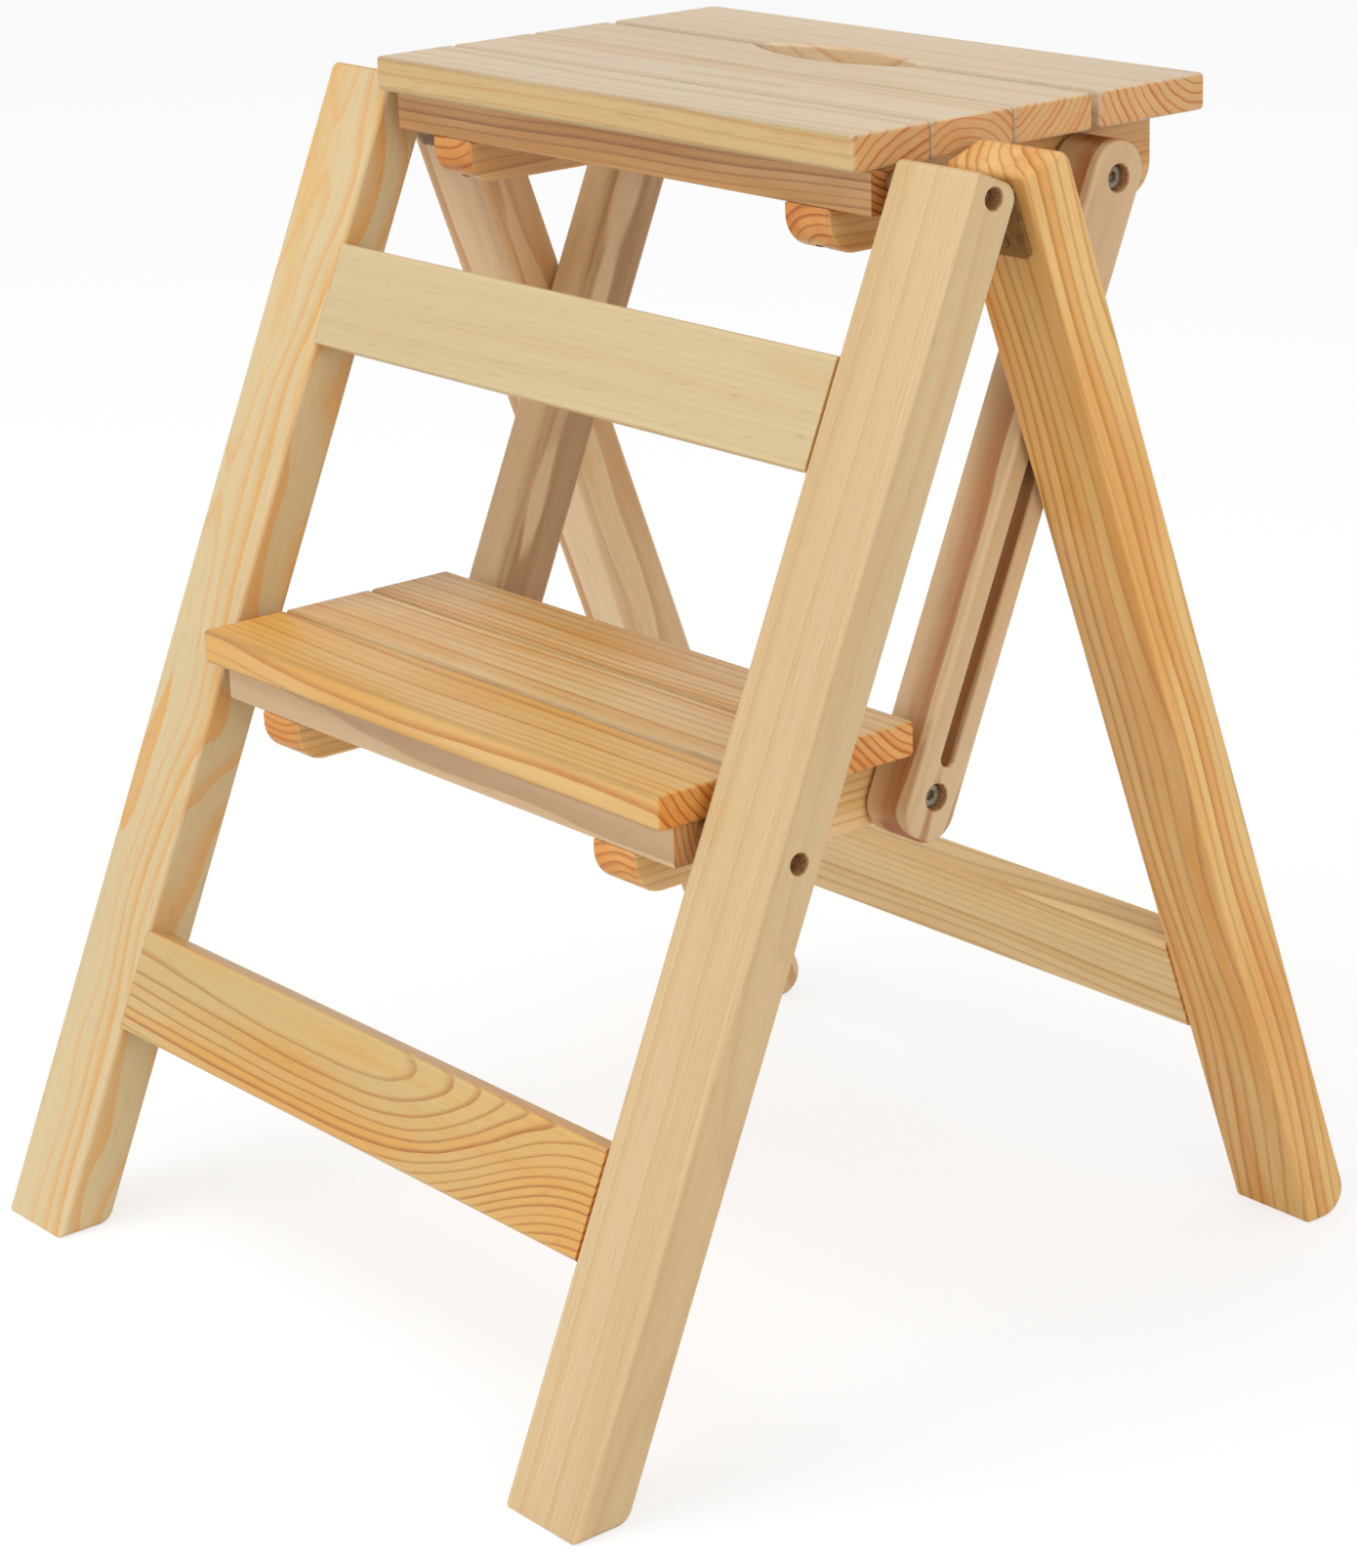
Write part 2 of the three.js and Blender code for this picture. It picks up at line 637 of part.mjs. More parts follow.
const seatSlats = slatPlaces(seatFrontOverhang, seatSlatWidths, [slatJoint, slatJoint, handSlotGap]);
const handSlotMiddle = (seatSlats[2].back + seatSlats[3].front) / 2;
buildDeck(seat, 'seat', {
  slats: seatSlats,
  outlines: [
    slatOutline(seatHalf, seatSlats[0], slatCornerRound),
    slatOutline(seatHalf, seatSlats[1], slatCornerRound),
    slatOutline(seatHalf, seatSlats[2], slatCornerRound, [], handSlotEdge(handSlotMiddle, -1)),
    slatOutline(seatHalf, seatSlats[3], seatRearCornerRound, handSlotEdge(handSlotMiddle, 1)),
  ],
  pine: seatPine,
  railEnd: seatHalf - seatRailEndInset,
  bearerBack: seatSlats[3].back - seatBearerRearInset,
});

// The last slat of the step ends a gap in front of the links, which lean as the front legs do
const linkFront = linkPivotBack - linkWidth / 2 / Math.cos(frontLean)
  + (linkPivotDrop + slatsBottom) * Math.tan(frontLean);
const stepFrontSlats = slatPlaces(stepFrontOverhang, stepSlatWidths, [slatJoint]);
const stepSlats = [
  ...stepFrontSlats,
  { front: stepFrontSlats[1].back + slatJoint, back: linkFront - stepToLink },
];
buildDeck(step, 'step', {
  slats: stepSlats,
  outlines: stepSlats.map((slat) => slatOutline(stepHalf, slat, slatCornerRound)),
  pine: stepPine,
  railEnd: stepHalf - stepRailEndInset,
  bearerBack: linkPivotBack + stepBearerBehindPivot,
});

// The floor place under the middle of the stool is the origin
const extent = new THREE.Box3().setFromObject(stool, true);
stool.position.y = -(extent.min.y + extent.max.y) / 2;

export default stool;
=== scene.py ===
"""Looks of a folding step stool in clear-lacquered pine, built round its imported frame.

Metres, +X to the right seen from the front, +Y to the back, +Z up, the floor at zero.
Every board is drawn sharp, has its edges eased and its holes cut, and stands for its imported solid.
"""

import logging
import math
from dataclasses import dataclass, field, replace
from enum import Enum
from typing import Callable, Iterator, Sequence

import bmesh
import bpy
from mathutils import Matrix, Vector


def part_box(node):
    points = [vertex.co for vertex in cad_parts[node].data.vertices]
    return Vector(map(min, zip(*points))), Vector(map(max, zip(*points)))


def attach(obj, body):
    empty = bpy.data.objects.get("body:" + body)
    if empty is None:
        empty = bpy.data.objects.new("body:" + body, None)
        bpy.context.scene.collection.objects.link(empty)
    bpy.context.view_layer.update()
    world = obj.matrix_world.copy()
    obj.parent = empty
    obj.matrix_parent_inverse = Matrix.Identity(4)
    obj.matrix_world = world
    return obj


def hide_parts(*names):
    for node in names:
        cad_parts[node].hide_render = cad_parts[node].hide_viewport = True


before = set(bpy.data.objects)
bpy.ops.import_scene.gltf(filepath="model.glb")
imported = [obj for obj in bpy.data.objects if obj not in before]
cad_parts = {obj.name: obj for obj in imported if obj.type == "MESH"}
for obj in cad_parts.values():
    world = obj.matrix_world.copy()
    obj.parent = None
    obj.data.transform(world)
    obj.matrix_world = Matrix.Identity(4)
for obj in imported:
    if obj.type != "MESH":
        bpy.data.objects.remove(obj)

LOG = logging.getLogger("stool")
SIDES = (("left", -1.0), ("right", 1.0))
Tree, Socket, Material = bpy.types.NodeTree, bpy.types.NodeSocket, bpy.types.Material
Shape = bmesh.types.BMesh
Corner = tuple[float, float, float]
Point = tuple[float, float]
Placer = Callable[[float, float, float], Vector]
Spot = tuple[Vector, Vector]
X_AXIS = Vector((1.0, 0.0, 0.0))
Y_AXIS = Vector((0.0, 1.0, 0.0))
UP = Vector((0.0, 0.0, 1.0))
DOWN = Vector((0.0, 0.0, -1.0))
ORIGIN = Vector()
WHITE = (1.0, 1.0, 1.0, 1.0)
BORED = 1
SHARP_ANGLE = math.radians(50)
LONG_EDGE_WEIGHT = 0.2
BITE_STEPS = 288
BITE_HEIGHT = 0.1
MERGE_DISTANCE = 0.00001
END_DEEPENING = 1.294
WARM_END = (0.98, 0.66, 0.34, 1.0)
WARM_SIDE = (0.89, 0.77, 0.48, 1.0)

FIT_GAP = 0.0003
OVERRUN = 0.001
BOLT_RADIUS = 0.003
BORE_RADIUS = BOLT_RADIUS + FIT_GAP
FINE_EASE = 0.0003
LEG_WIDTH = 0.044
LEG_THICKNESS = 0.0237
LEG_ABOVE_PIVOT = 0.0075
FASTENER_SEED = 7
FRONT_LEAN = math.radians(23.5)
REAR_LEAN = math.radians(-19.4)


# Node trees


class Graph:
    """A pen for node trees: it makes nodes, sets their values and draws their links."""

    def __init__(self, tree: Tree) -> None:
        """Empties the tree and draws in it."""
        self.tree = tree
        tree.nodes.clear()

    def node(self, kind: str, **settings: object) -> bpy.types.Node:
        """Adds one node.

        Args:
            kind: Blender's name of the node's class.
            **settings: Properties to set on the node.

        Returns:
            The new node.
        """
        made = self.tree.nodes.new(kind)
        for key, value in settings.items():
            setattr(made, key, value)
        return made

    def named(self, kind: str, values: dict[str, object], **settings: object) -> bpy.types.Node:
        """Adds one node and feeds its inputs by their names.

        Args:
            kind: Blender's name of the node's class.
            values: What its named inputs get.
            **settings: Properties to set on the node.

        Returns:
            The new node.
        """
        made = self.node(kind, **settings)
        for label, value in values.items():
            self.feed(made.inputs[label], value)
        return made

    def feed(self, socket: Socket, value: object) -> None:
        """Links an output to a socket, or sets the socket's own value.

        Args:
            socket: The input socket.
            value: An output socket or a plain value. None leaves the socket as it is.
        """
        if isinstance(value, Socket):
            self.tree.links.new(value, socket)
        elif value is not None:
            socket.default_value = value

    def op(self, kind: str, *values: object, out: int | str = 0, **settings: object) -> Socket:
        """Adds a node, feeds its inputs in order and returns one output.

        Args:
            kind: Blender's name of the node's class.
            *values: What its inputs get, in order.
            out: Which output to return.
            **settings: Properties to set on the node.

        Returns:
            The output socket.
        """
        made = self.node(kind, **settings)
        for socket, value in zip(made.inputs, values):
            self.feed(socket, value)
        return made.outputs[out]

    def math(self, operation: str, *values: object) -> Socket:
        """The result of one Math node."""
        return self.op("ShaderNodeMath", *values, operation=operation)

    def add(self, first: object, second: object) -> Socket:
        """A sum."""
        return self.math("ADD", first, second)

    def sub(self, first: object, second: object) -> Socket:
        """A difference."""
        return self.math("SUBTRACT", first, second)

    def mul(self, first: object, second: object) -> Socket:
        """A product."""
        return self.math("MULTIPLY", first, second)

    def vector(self, operation: str, *values: object) -> Socket:
        """The result of one Vector Math node: its vector, or its value for a length or a dot product."""
        out = "Value" if operation in {"LENGTH", "DOT_PRODUCT"} else "Vector"
        return self.op("ShaderNodeVectorMath", *values, operation=operation, out=out)

    def scaled(self, vector: object, factor: object) -> Socket:
        """A vector times one number."""
        values = {"Vector": vector, "Scale": factor}
        return self.named("ShaderNodeVectorMath", values, operation="SCALE").outputs["Vector"]

    def stretched(self, vector: object, across: float, along: float) -> Socket:
        """A board's vector in cycles of a pattern, from its cycles per metre across and along the grain."""
        return self.vector("MULTIPLY", vector, (across, across, along))

    def split(self, vector: object) -> bpy.types.bpy_prop_collection:
        """The three numbers of a vector, as the outputs X, Y and Z."""
        return self.named("ShaderNodeSeparateXYZ", {"Vector": vector}).outputs

    def noise(self, vector: object, detail: float = 2.0, out: str = "Fac") -> Socket:
        """Noise of so many octaves, as Fac or Color, whose scale is already in its vector."""
        values = {"Vector": vector, "Scale": 1.0, "Detail": detail}
        return self.named("ShaderNodeTexNoise", values, noise_dimensions="3D").outputs[out]

    def ramp(self, value: object, low: object, high: object, to: Point = (0.0, 1.0)) -> Socket:
        """A smooth step of a value from low to high, between the two values in to."""
        return self.op("ShaderNodeMapRange", value, low, high, *to, interpolation_type="SMOOTHSTEP")

    def mix(self, factor: object, first: object, second: object, blend: str = "MIX") -> Socket:
        """Mixes two colours.

        Args:
            factor: How much of the second.
            first: The first colour.
            second: The second colour.
            blend: The blend type.

        Returns:
            The mixed colour.
        """
        made = self.named("ShaderNodeMix", {"Factor": factor}, data_type="RGBA", blend_type=blend)
        first_socket, second_socket = (s for s in made.inputs if s.type == "RGBA")
        self.feed(first_socket, first)
        self.feed(second_socket, second)
        return next(s for s in made.outputs if s.type == "RGBA")

    def hand_out(self, geometry: object, material: object) -> None:
        """Ends a geometry tree: makes its instances real, dresses them and gives them to the output.

        Args:
            geometry: What the tree has made.
            material: The material that it gets.
        """
        real = self.op("GeometryNodeRealizeInstances", geometry)
        dressed = self.named("GeometryNodeSetMaterial", {"Geometry": real, "Material": material})
        self.named("NodeGroupOutput", {"Geometry": dressed.outputs[0]})


def new_group(name: str, kind: str, inputs: dict[str, object], outputs: dict[str, str]) -> Tree:
    """Makes a node group with its sockets.

    Args:
        name: The group's name.
        kind: ShaderNodeTree or GeometryNodeTree.
        inputs: Each input's name with its default value, or its socket type as a string.
        outputs: Each output's name with its socket type.

    Returns:
        The empty group.
    """
    tree = bpy.data.node_groups.new(name, kind)
    kinds = {bool: "Bool", int: "Int", float: "Float", tuple: "Vector", list: "Color"}
    for label, value in inputs.items():
        named = value if isinstance(value, str) else kinds[type(value)]
        socket = tree.interface.new_socket(name=label, in_out="INPUT", socket_type="NodeSocket" + named)
        if not isinstance(value, str):
            socket.default_value = value
    for label, named in outputs.items():
        tree.interface.new_socket(name=label, in_out="OUTPUT", socket_type="NodeSocket" + named)
    return tree


def colour(code: str) -> list[float]:
    """A colour's six hex digits as the linear red, green, blue and alpha that a socket takes."""
    shares = [int(code[i : i + 2], 16) / 255 for i in (0, 2, 4)]
    return [s / 12.92 if s <= 0.04045 else ((s + 0.055) / 1.055) ** 2.4 for s in shares] + [1.0]


# Shader groups

RING_INPUTS = {
    "Vector": (0.0, 0.0, 0.0),
    "Pith": (0.0, 0.04, 0.0),
    "Spacing": 0.003,
    "Waver": 0.004,
    "Wave": 3.2,
    "Knot": (0.0, 0.0, 0.0),
    "Knot Reach": 0.02,
    "Knot Pull": 0.0,
    "Seed": 0.0,
}
EDGE_INPUTS = {"Vector": (0.0, 0.0, 0.0), "Half Size": (0.02, 0.01, 1.0)}
FINISH_OUTPUTS = {"Color": "Color", "Roughness": "Float", "Height": "Float"}


def ring_group() -> Tree:
    """Annual rings of a board, as surfaces about its tree's pith, bent round one knot.

    Returns:
        The group. Ring runs from 0 to 1 through each year, and Chance is one number a year.
    """
    outputs = {"Ring": "Float", "Chance": "Float", "Knot Near": "Float"}
    tree = new_group("annual rings", "ShaderNodeTree", RING_INPUTS, outputs)
    g = Graph(tree)
    given = g.node("NodeGroupInput").outputs
    seeded = g.vector("ADD", given["Vector"], g.scaled((1.7, 2.9, 4.3), given["Seed"]))
    stretch = g.op("ShaderNodeCombineXYZ", 7.0, 7.0, given["Wave"])
    slow = g.noise(g.vector("MULTIPLY", seeded, stretch), 1.0, "Color")
    sway = g.scaled(g.vector("SUBTRACT", slow, (0.5, 0.5, 0.5)), g.mul(given["Waver"], 4.0))
    rough = g.noise(g.stretched(seeded, 60.0, 7.0), 2.0)
    bent = g.vector("ADD", g.vector("SUBTRACT", given["Vector"], given["Pith"]), sway)
    radius = g.vector("LENGTH", g.vector("MULTIPLY", bent, (1.0, 1.0, 0.0)))
    away = g.vector("MULTIPLY", g.vector("SUBTRACT", given["Vector"], given["Knot"]), (1.0, 0.25, 0.7))
    share = g.math("DIVIDE", g.vector("LENGTH", away), given["Knot Reach"])
    near = g.math("EXPONENT", g.mul(g.mul(share, share), -1.0))
    pulled = g.add(radius, g.mul(near, given["Knot Pull"]))
    years = g.math("DIVIDE", pulled, given["Spacing"])
    years = g.add(years, g.mul(g.sub(rough, 0.5), 0.7))
    year = g.math("FLOOR", years)
    chance = g.op("ShaderNodeTexWhiteNoise", None, g.add(year, given["Seed"]), noise_dimensions="1D")
    share_of_year = g.sub(years, year)
    g.named("NodeGroupOutput", {"Ring": share_of_year, "Chance": chance, "Knot Near": near})
    return tree


def fibre_group() -> Tree:
    """Fine fibre of a planed board: long streaks, flames of deeper colour and short resin ducts.

    Returns:
        The group.
    """
    inputs = {"Vector": (0.0, 0.0, 0.0), "Seed": 0.0}
    outputs = {"Streak": "Float", "Flame": "Float", "Duct": "Float"}
    tree = new_group("wood fibre", "ShaderNodeTree", inputs, outputs)
    g = Graph(tree)
    given = g.node("NodeGroupInput").outputs
    seeded = g.vector("ADD", given["Vector"], g.scaled((0.31, 0.47, 0.83), given["Seed"]))
    fine = g.noise(g.stretched(seeded, 900.0, 14.0), 3.0)
    broad = g.noise(g.stretched(seeded, 260.0, 5.0), 2.0)
    flame = g.noise(g.stretched(seeded, 120.0, 5.5), 3.0)
    duct = g.noise(g.stretched(seeded, 1500.0, 70.0), 0.0)
    streak = g.mul(g.add(fine, broad), 0.5)
    shares = {"Streak": streak, "Flame": g.ramp(flame, 0.44, 0.72), "Duct": g.ramp(duct, 0.68, 0.80)}
    g.named("NodeGroupOutput", shares)
    return tree


def eased_edge_group() -> Tree:
    """A mask of a board's eased long edges, where the pine group paints a highlight that turns to darkening
    when its strength is negative.

    Returns:
        The group. Vector is measured from the board's middle.
    """
    tree = new_group("eased edges", "ShaderNodeTree", {**EDGE_INPUTS, "Reach": 0.003}, {"Edge": "Float"})
    g = Graph(tree)
    given = g.node("NodeGroupInput").outputs
    depth = g.vector("SUBTRACT", given["Half Size"], g.vector("ABSOLUTE", given["Vector"]))
    parts = g.split(depth)
    near = [g.ramp(parts[axis], given["Reach"], 0.0) for axis in ("X", "Y")]
    g.named("NodeGroupOutput", {"Edge": g.mul(*near)})
    return tree


def pine_group(rings: Tree, fibre: Tree, edges: Tree) -> Tree:
    """Planed pine under clear lacquer, for any board.

    Args:
        rings: The group of the annual rings.
        fibre: The group of the fibre.
        edges: The group of the eased edges.

    Returns:
        The group, with a colour, a roughness and a height.
    """
    inputs = {
        **RING_INPUTS,
        **EDGE_INPUTS,
        "Normal": (0.0, 0.0, 1.0),
        "Early": [0.8, 0.6, 0.4, 1.0],
        "Late": [0.6, 0.35, 0.15, 1.0],
        "Heart": [0.7, 0.4, 0.15, 1.0],
        "Late Share": 0.35,
        "Late Depth": 0.5,
        "Band": 0.3,
        "Heart Spread": 0.3,
        "Edge Light": 0.07,
        "End Depth": 0.85,
        "Side Warmth": 0.0,
    }
    tree = new_group("planed pine", "ShaderNodeTree", inputs, FINISH_OUTPUTS)
    g = Graph(tree)
    given = g.node("NodeGroupInput").outputs

    def placed(group: Tree) -> bpy.types.Node:
        """Places a group and feeds each input that this group has too.

        Args:
            group: The group to place.

        Returns:
            Its node.
        """
        made = g.node("ShaderNodeGroup", node_tree=group)
        for socket in made.inputs:
            g.feed(socket, given[socket.name] if socket.name in given else None)
        return made

    ring, grain, edge = (placed(group).outputs for group in (rings, fibre, edges))
    facing = g.split(given["Normal"])
    side, end = (g.ramp(g.math("ABSOLUTE", facing[axis]), 0.55, 0.93) for axis in ("X", "Z"))

    # Summer wood darkens through the year and stops short at its end
    wide = g.add(g.mul(ring["Chance"], 0.9), 0.55)
    width = g.mul(given["Late Share"], wide)
    late = g.ramp(ring["Ring"], g.sub(1.0, width), 0.95)
    late = g.mul(late, g.ramp(ring["Ring"], 1.0, 0.95))
    uneven = g.add(0.6, g.mul(ring["Chance"], 0.5))
    broken = g.ramp(grain["Streak"], 0.30, 0.62, (0.72, 1.0))
    deeper = g.mul(end, g.mul(given["End Depth"], END_DEEPENING))
    depth = g.mul(given["Late Depth"], g.add(uneven, deeper))
    depth = g.mul(g.mul(late, depth), broken)

    # Some years and some clouds are more orange than others, and so is the wood round a knot
    seeded = g.vector("ADD", given["Vector"], g.scaled((5.1, 3.7, 2.3), given["Seed"]))
    cloud = g.noise(g.stretched(seeded, 30.0, 6.0), 2.0)
    low = g.sub(0.72, given["Heart Spread"])
    heart = g.ramp(cloud, low, g.add(low, 0.22))
    knotty = g.mul(ring["Knot Near"], g.math("GREATER_THAN", given["Knot Pull"], 0.0))
    heart = g.math("MAXIMUM", heart, knotty)
    warm = g.mul(g.ramp(ring["Chance"], 0.45, 0.95), given["Band"])
    shade = g.mix(warm, given["Early"], given["Heart"])
    shade = g.mix(g.mul(heart, 0.65), shade, given["Heart"])
    shade = g.mix(g.mul(grain["Flame"], given["Band"]), shade, given["Heart"])
    shade = g.mix(g.math("MINIMUM", depth, 1.0), shade, given["Late"])

    # Broad drift, fibre and ducts change how light it is, the eased edges carry a painted highlight, and cut
    # faces change how warm it is
    drift = g.noise(g.stretched(seeded, 14.0, 2.6), 1.0)
    light = g.add(0.88, g.mul(drift, 0.24))
    light = g.mul(light, g.add(0.90, g.mul(grain["Streak"], 0.20)))
    light = g.mul(light, g.sub(1.0, g.mul(grain["Duct"], 0.15)))
    # Painted highlight: eased edges lighter by Painted Edge Light and paler towards the spring wood; negative
    # values darken them, as on the slats
    light = g.add(light, g.mul(edge["Edge"], given["Edge Light"]))
    shade = g.mix(g.mul(edge["Edge"], 0.35), shade, given["Early"])
    warm_end = g.mix(1.0, shade, WARM_END, "MULTIPLY")
    shade = g.mix(g.mul(end, given["End Depth"]), shade, warm_end)
    warm_side = g.mix(1.0, shade, WARM_SIDE, "MULTIPLY")
    shade = g.mix(g.mul(side, given["Side Warmth"]), shade, warm_side)

    dull = g.add(0.44, g.mul(end, 0.22))
    dull = g.add(dull, g.mul(g.sub(grain["Streak"], 0.5), 0.18))
    dull = g.sub(dull, g.mul(late, 0.05))
    relief = g.add(g.mul(late, 0.35), g.mul(grain["Streak"], 0.65))
    relief = g.sub(relief, g.mul(grain["Duct"], 0.5))
    g.named("NodeGroupOutput", {"Color": g.scaled(shade, light), "Roughness": dull, "Height": relief})
    return tree


def scuff_group() -> Tree:
    """Faint turning marks, cloudy plating and scuffs on small steel parts.

    Returns:
        The group.
    """
    inputs = {"Vector": (0.0, 0.0, 0.0), "Bright": [0.6, 0.6, 0.6, 1.0], "Dull": [0.3, 0.3, 0.3, 1.0]}
    tree = new_group("scuffed plating", "ShaderNodeTree", inputs, FINISH_OUTPUTS)
    g = Graph(tree)
    given = g.node("NodeGroupInput").outputs
    cloud = g.noise(g.scaled(given["Vector"], 260.0), 3.0)
    grit = g.noise(g.scaled(given["Vector"], 2600.0), 2.0)
    marks = g.noise(g.vector("MULTIPLY", given["Vector"], (4200.0, 300.0, 300.0)), 1.0)
    shade = g.mix(g.ramp(cloud, 0.42, 0.66), given["Bright"], given["Dull"])
    worn = g.add(0.24, g.mul(cloud, 0.2))
    worn = g.add(worn, g.mul(grit, 0.12))
    relief = g.add(g.mul(marks, 0.5), g.mul(grit, 0.5))
    g.named("NodeGroupOutput", {"Color": shade, "Roughness": worn, "Height": relief})
    return tree


# Finishes


@dataclass(frozen=True)
class Surface:
    """What a material's Principled surface keeps constant, and its bump.

    Attributes:
        strength: How strong the bump is.
        distance: How high it stands, in metres.
        constants: Other inputs of the surface by their names.
    """

    strength: float
    distance: float
    constants: dict[str, float]

    def dress(self, g: Graph, group: Tree, values: dict[str, object]) -> None:
        """Ends a material with a surface that a group's colour, roughness and height feed.

        Args:
            g: The pen of the material's tree.
            group: The group.
            values: What its inputs get.
        """
        look = g.named("ShaderNodeGroup", values, node_tree=group).outputs
        relief = {"Strength": self.strength, "Distance": self.distance, "Height": look["Height"]}
        fed = {
            "Base Color": look["Color"],
            "Roughness": look["Roughness"],
            "Normal": g.named("ShaderNodeBump", relief).outputs[0],
            **self.constants,
        }
        surface = g.named("ShaderNodeBsdfPrincipled", fed)
        g.named("ShaderNodeOutputMaterial", {"Surface": surface.outputs[0]})


LACQUER = Surface(strength=0.35, distance=0.00012, constants={"Coat Weight": 0.18, "Coat Roughness": 0.28})


def new_material(name: str) -> tuple[Material, Graph]:
    """An empty material and a pen for its tree.

    Args:
        name: The material's name.

    Returns:
        The material and the pen.
    """
    made = bpy.data.materials.new(name)
    made.use_nodes = True
    return made, Graph(made.node_tree)


@dataclass(frozen=True)
class BoardAxes:
    """Where a board lies: its middle, its half sizes, and its width, thickness and grain directions."""

    middle: Vector
    half: tuple[float, float]
    width: Vector
    thickness: Vector
    grain: Vector

    def turn(self) -> Matrix:
        """The turn from the stool's directions to the board's."""
        return Matrix((self.width, self.thickness, self.grain))


class Cut(Enum):
    """How a board was sawn: the direction from its middle to the pith of its tree."""

    FLAT = (0.18, 1.0)
    FLAT_TURNED = (-0.22, -1.0)
    RIFT = (0.8, 0.75)
    RIFT_TURNED = (-0.75, 0.8)
    QUARTER = (1.0, 0.12)
    QUARTER_TURNED = (-1.0, 0.12)
    FLAT_LEFT = (-0.45, -0.9)
    FLAT_RIGHT = (0.47, -0.88)


@dataclass(frozen=True)
class PineFinish:
    """One board's lacquered pine.

    Attributes:
        early: Colour of the soft spring wood.
        late: Colour of the hard summer wood.
        heart: Colour of the orange clouds.
        cut: How the board was sawn.
        pith: Distance from the board's middle to the pith.
        spacing: Width of a year's ring.
        share: Share of a ring that is summer wood.
        depth: How strongly summer wood shows.
        spread: How far the orange clouds spread.
        band: How much whole years differ in colour.
        waver: How far the pith wanders along the board.
        wave: How often it wanders, per metre.
        knot: Place of a knot across and along the board, its reach and its pull.
        edge: Strength of the painted highlight along its long edges; below zero they are darker.
        end: How much deeper and warmer its end grain is.
        side: How much warmer its narrow faces are.
        seed: Number of the board, which picks its pattern.
    """

    early: str = "e4c79a"
    late: str = "c98f50"
    heart: str = "d99d4e"
    cut: Cut = Cut.FLAT
    pith: float = 0.045
    spacing: float = 0.0032
    share: float = 0.38
    depth: float = 0.6
    spread: float = 0.3
    band: float = 0.3
    waver: float = 0.004
    wave: float = 3.2
    knot: tuple[float, float, float, float] = (0.0, 0.0, 0.02, 0.0)
    edge: float = 0.07
    end: float = 0.85
    side: float = 0.0
    seed: int = 1

    def material(self, name: str, group: Tree, axes: BoardAxes) -> Material:
        """Dresses one board.

        Args:
            name: The material's name.
            group: The group of the planed pine.
            axes: Where the board lies.

        Returns:
            The material.
        """
        made, g = new_material(name)
        turn = axes.turn()
        here = g.node("ShaderNodeTexCoord").outputs
        place = g.node("ShaderNodeMapping", vector_type="POINT")
        facing = g.node("ShaderNodeMapping", vector_type="VECTOR")
        for mapping in (place, facing):
            mapping.inputs["Rotation"].default_value = turn.to_euler("XYZ")
        place.inputs["Location"].default_value = -(turn @ axes.middle)
        g.feed(place.inputs["Vector"], here["Object"])
        g.feed(facing.inputs["Vector"], here["Normal"])
        across, through = self.cut.value
        values = {
            "Vector": place.outputs[0],
            "Normal": facing.outputs[0],
            "Early": colour(self.early),
            "Late": colour(self.late),
            "Heart": colour(self.heart),
            "Late Share": self.share,
            "Late Depth": self.depth,
            "Heart Spread": self.spread,
            "Band": self.band,
            "Wave": self.wave,
            "Pith": (across * self.pith, through * self.pith, 0.0),
            "Spacing": self.spacing,
            "Waver": self.waver,
            "Knot": (self.knot[0], 0.0, self.knot[1]),
            "Knot Reach": self.knot[2],
            "Knot Pull": self.knot[3],
            "Half Size": (*axes.half, 1.0),
            "Edge Light": self.edge,
            "End Depth": self.end,
            "Side Warmth": self.side,
            "Seed": float(self.seed),
        }
        LACQUER.dress(g, group, values)
        return made


@dataclass(frozen=True)
class SteelFinish:
    """Zinc-plated or oiled steel of the fastenings; the dark brown ones also paint shade."""

    bright: str = "b9b7b2"
    dull: str = "8d8a84"
    metallic: float = 1.0

    def material(self, name: str, group: Tree) -> Material:
        """Dresses the steel parts.

        Args:
            name: The material's name.
            group: The group of the scuffed plating.

        Returns:
            The material.
        """
        made, g = new_material(name)
        here = g.node("ShaderNodeTexCoord").outputs["Object"]
        values = {"Vector": here, "Bright": colour(self.bright), "Dull": colour(self.dull)}
        plating = Surface(strength=0.25, distance=0.00004, constants={"Metallic": self.metallic})
        plating.dress(g, group, values)
        return made


@dataclass(frozen=True)
class BoredFinish:
    """Raw pine inside the bolt holes, darkened by the drill."""

    light: str = "c39566"
    dark: str = "9a6d43"

    def material(self) -> Material:
        """Dresses the bored faces.

        Returns:
            The material.
        """
        made, g = new_material("bored_pine")
        here = g.node("ShaderNodeTexCoord").outputs["Object"]
        grit = g.noise(g.scaled(here, 900.0), 3.0)
        speckle = g.mix(g.ramp(grit, 0.35, 0.65), colour(self.light), colour(self.dark))
        rough = g.add(0.65, g.mul(grit, 0.25))
        surface = g.named("ShaderNodeBsdfPrincipled", {"Base Color": speckle, "Roughness": rough})
        g.named("ShaderNodeOutputMaterial", {"Surface": surface.outputs[0]})
        return made


# Boards of the stool, each cut from another tree

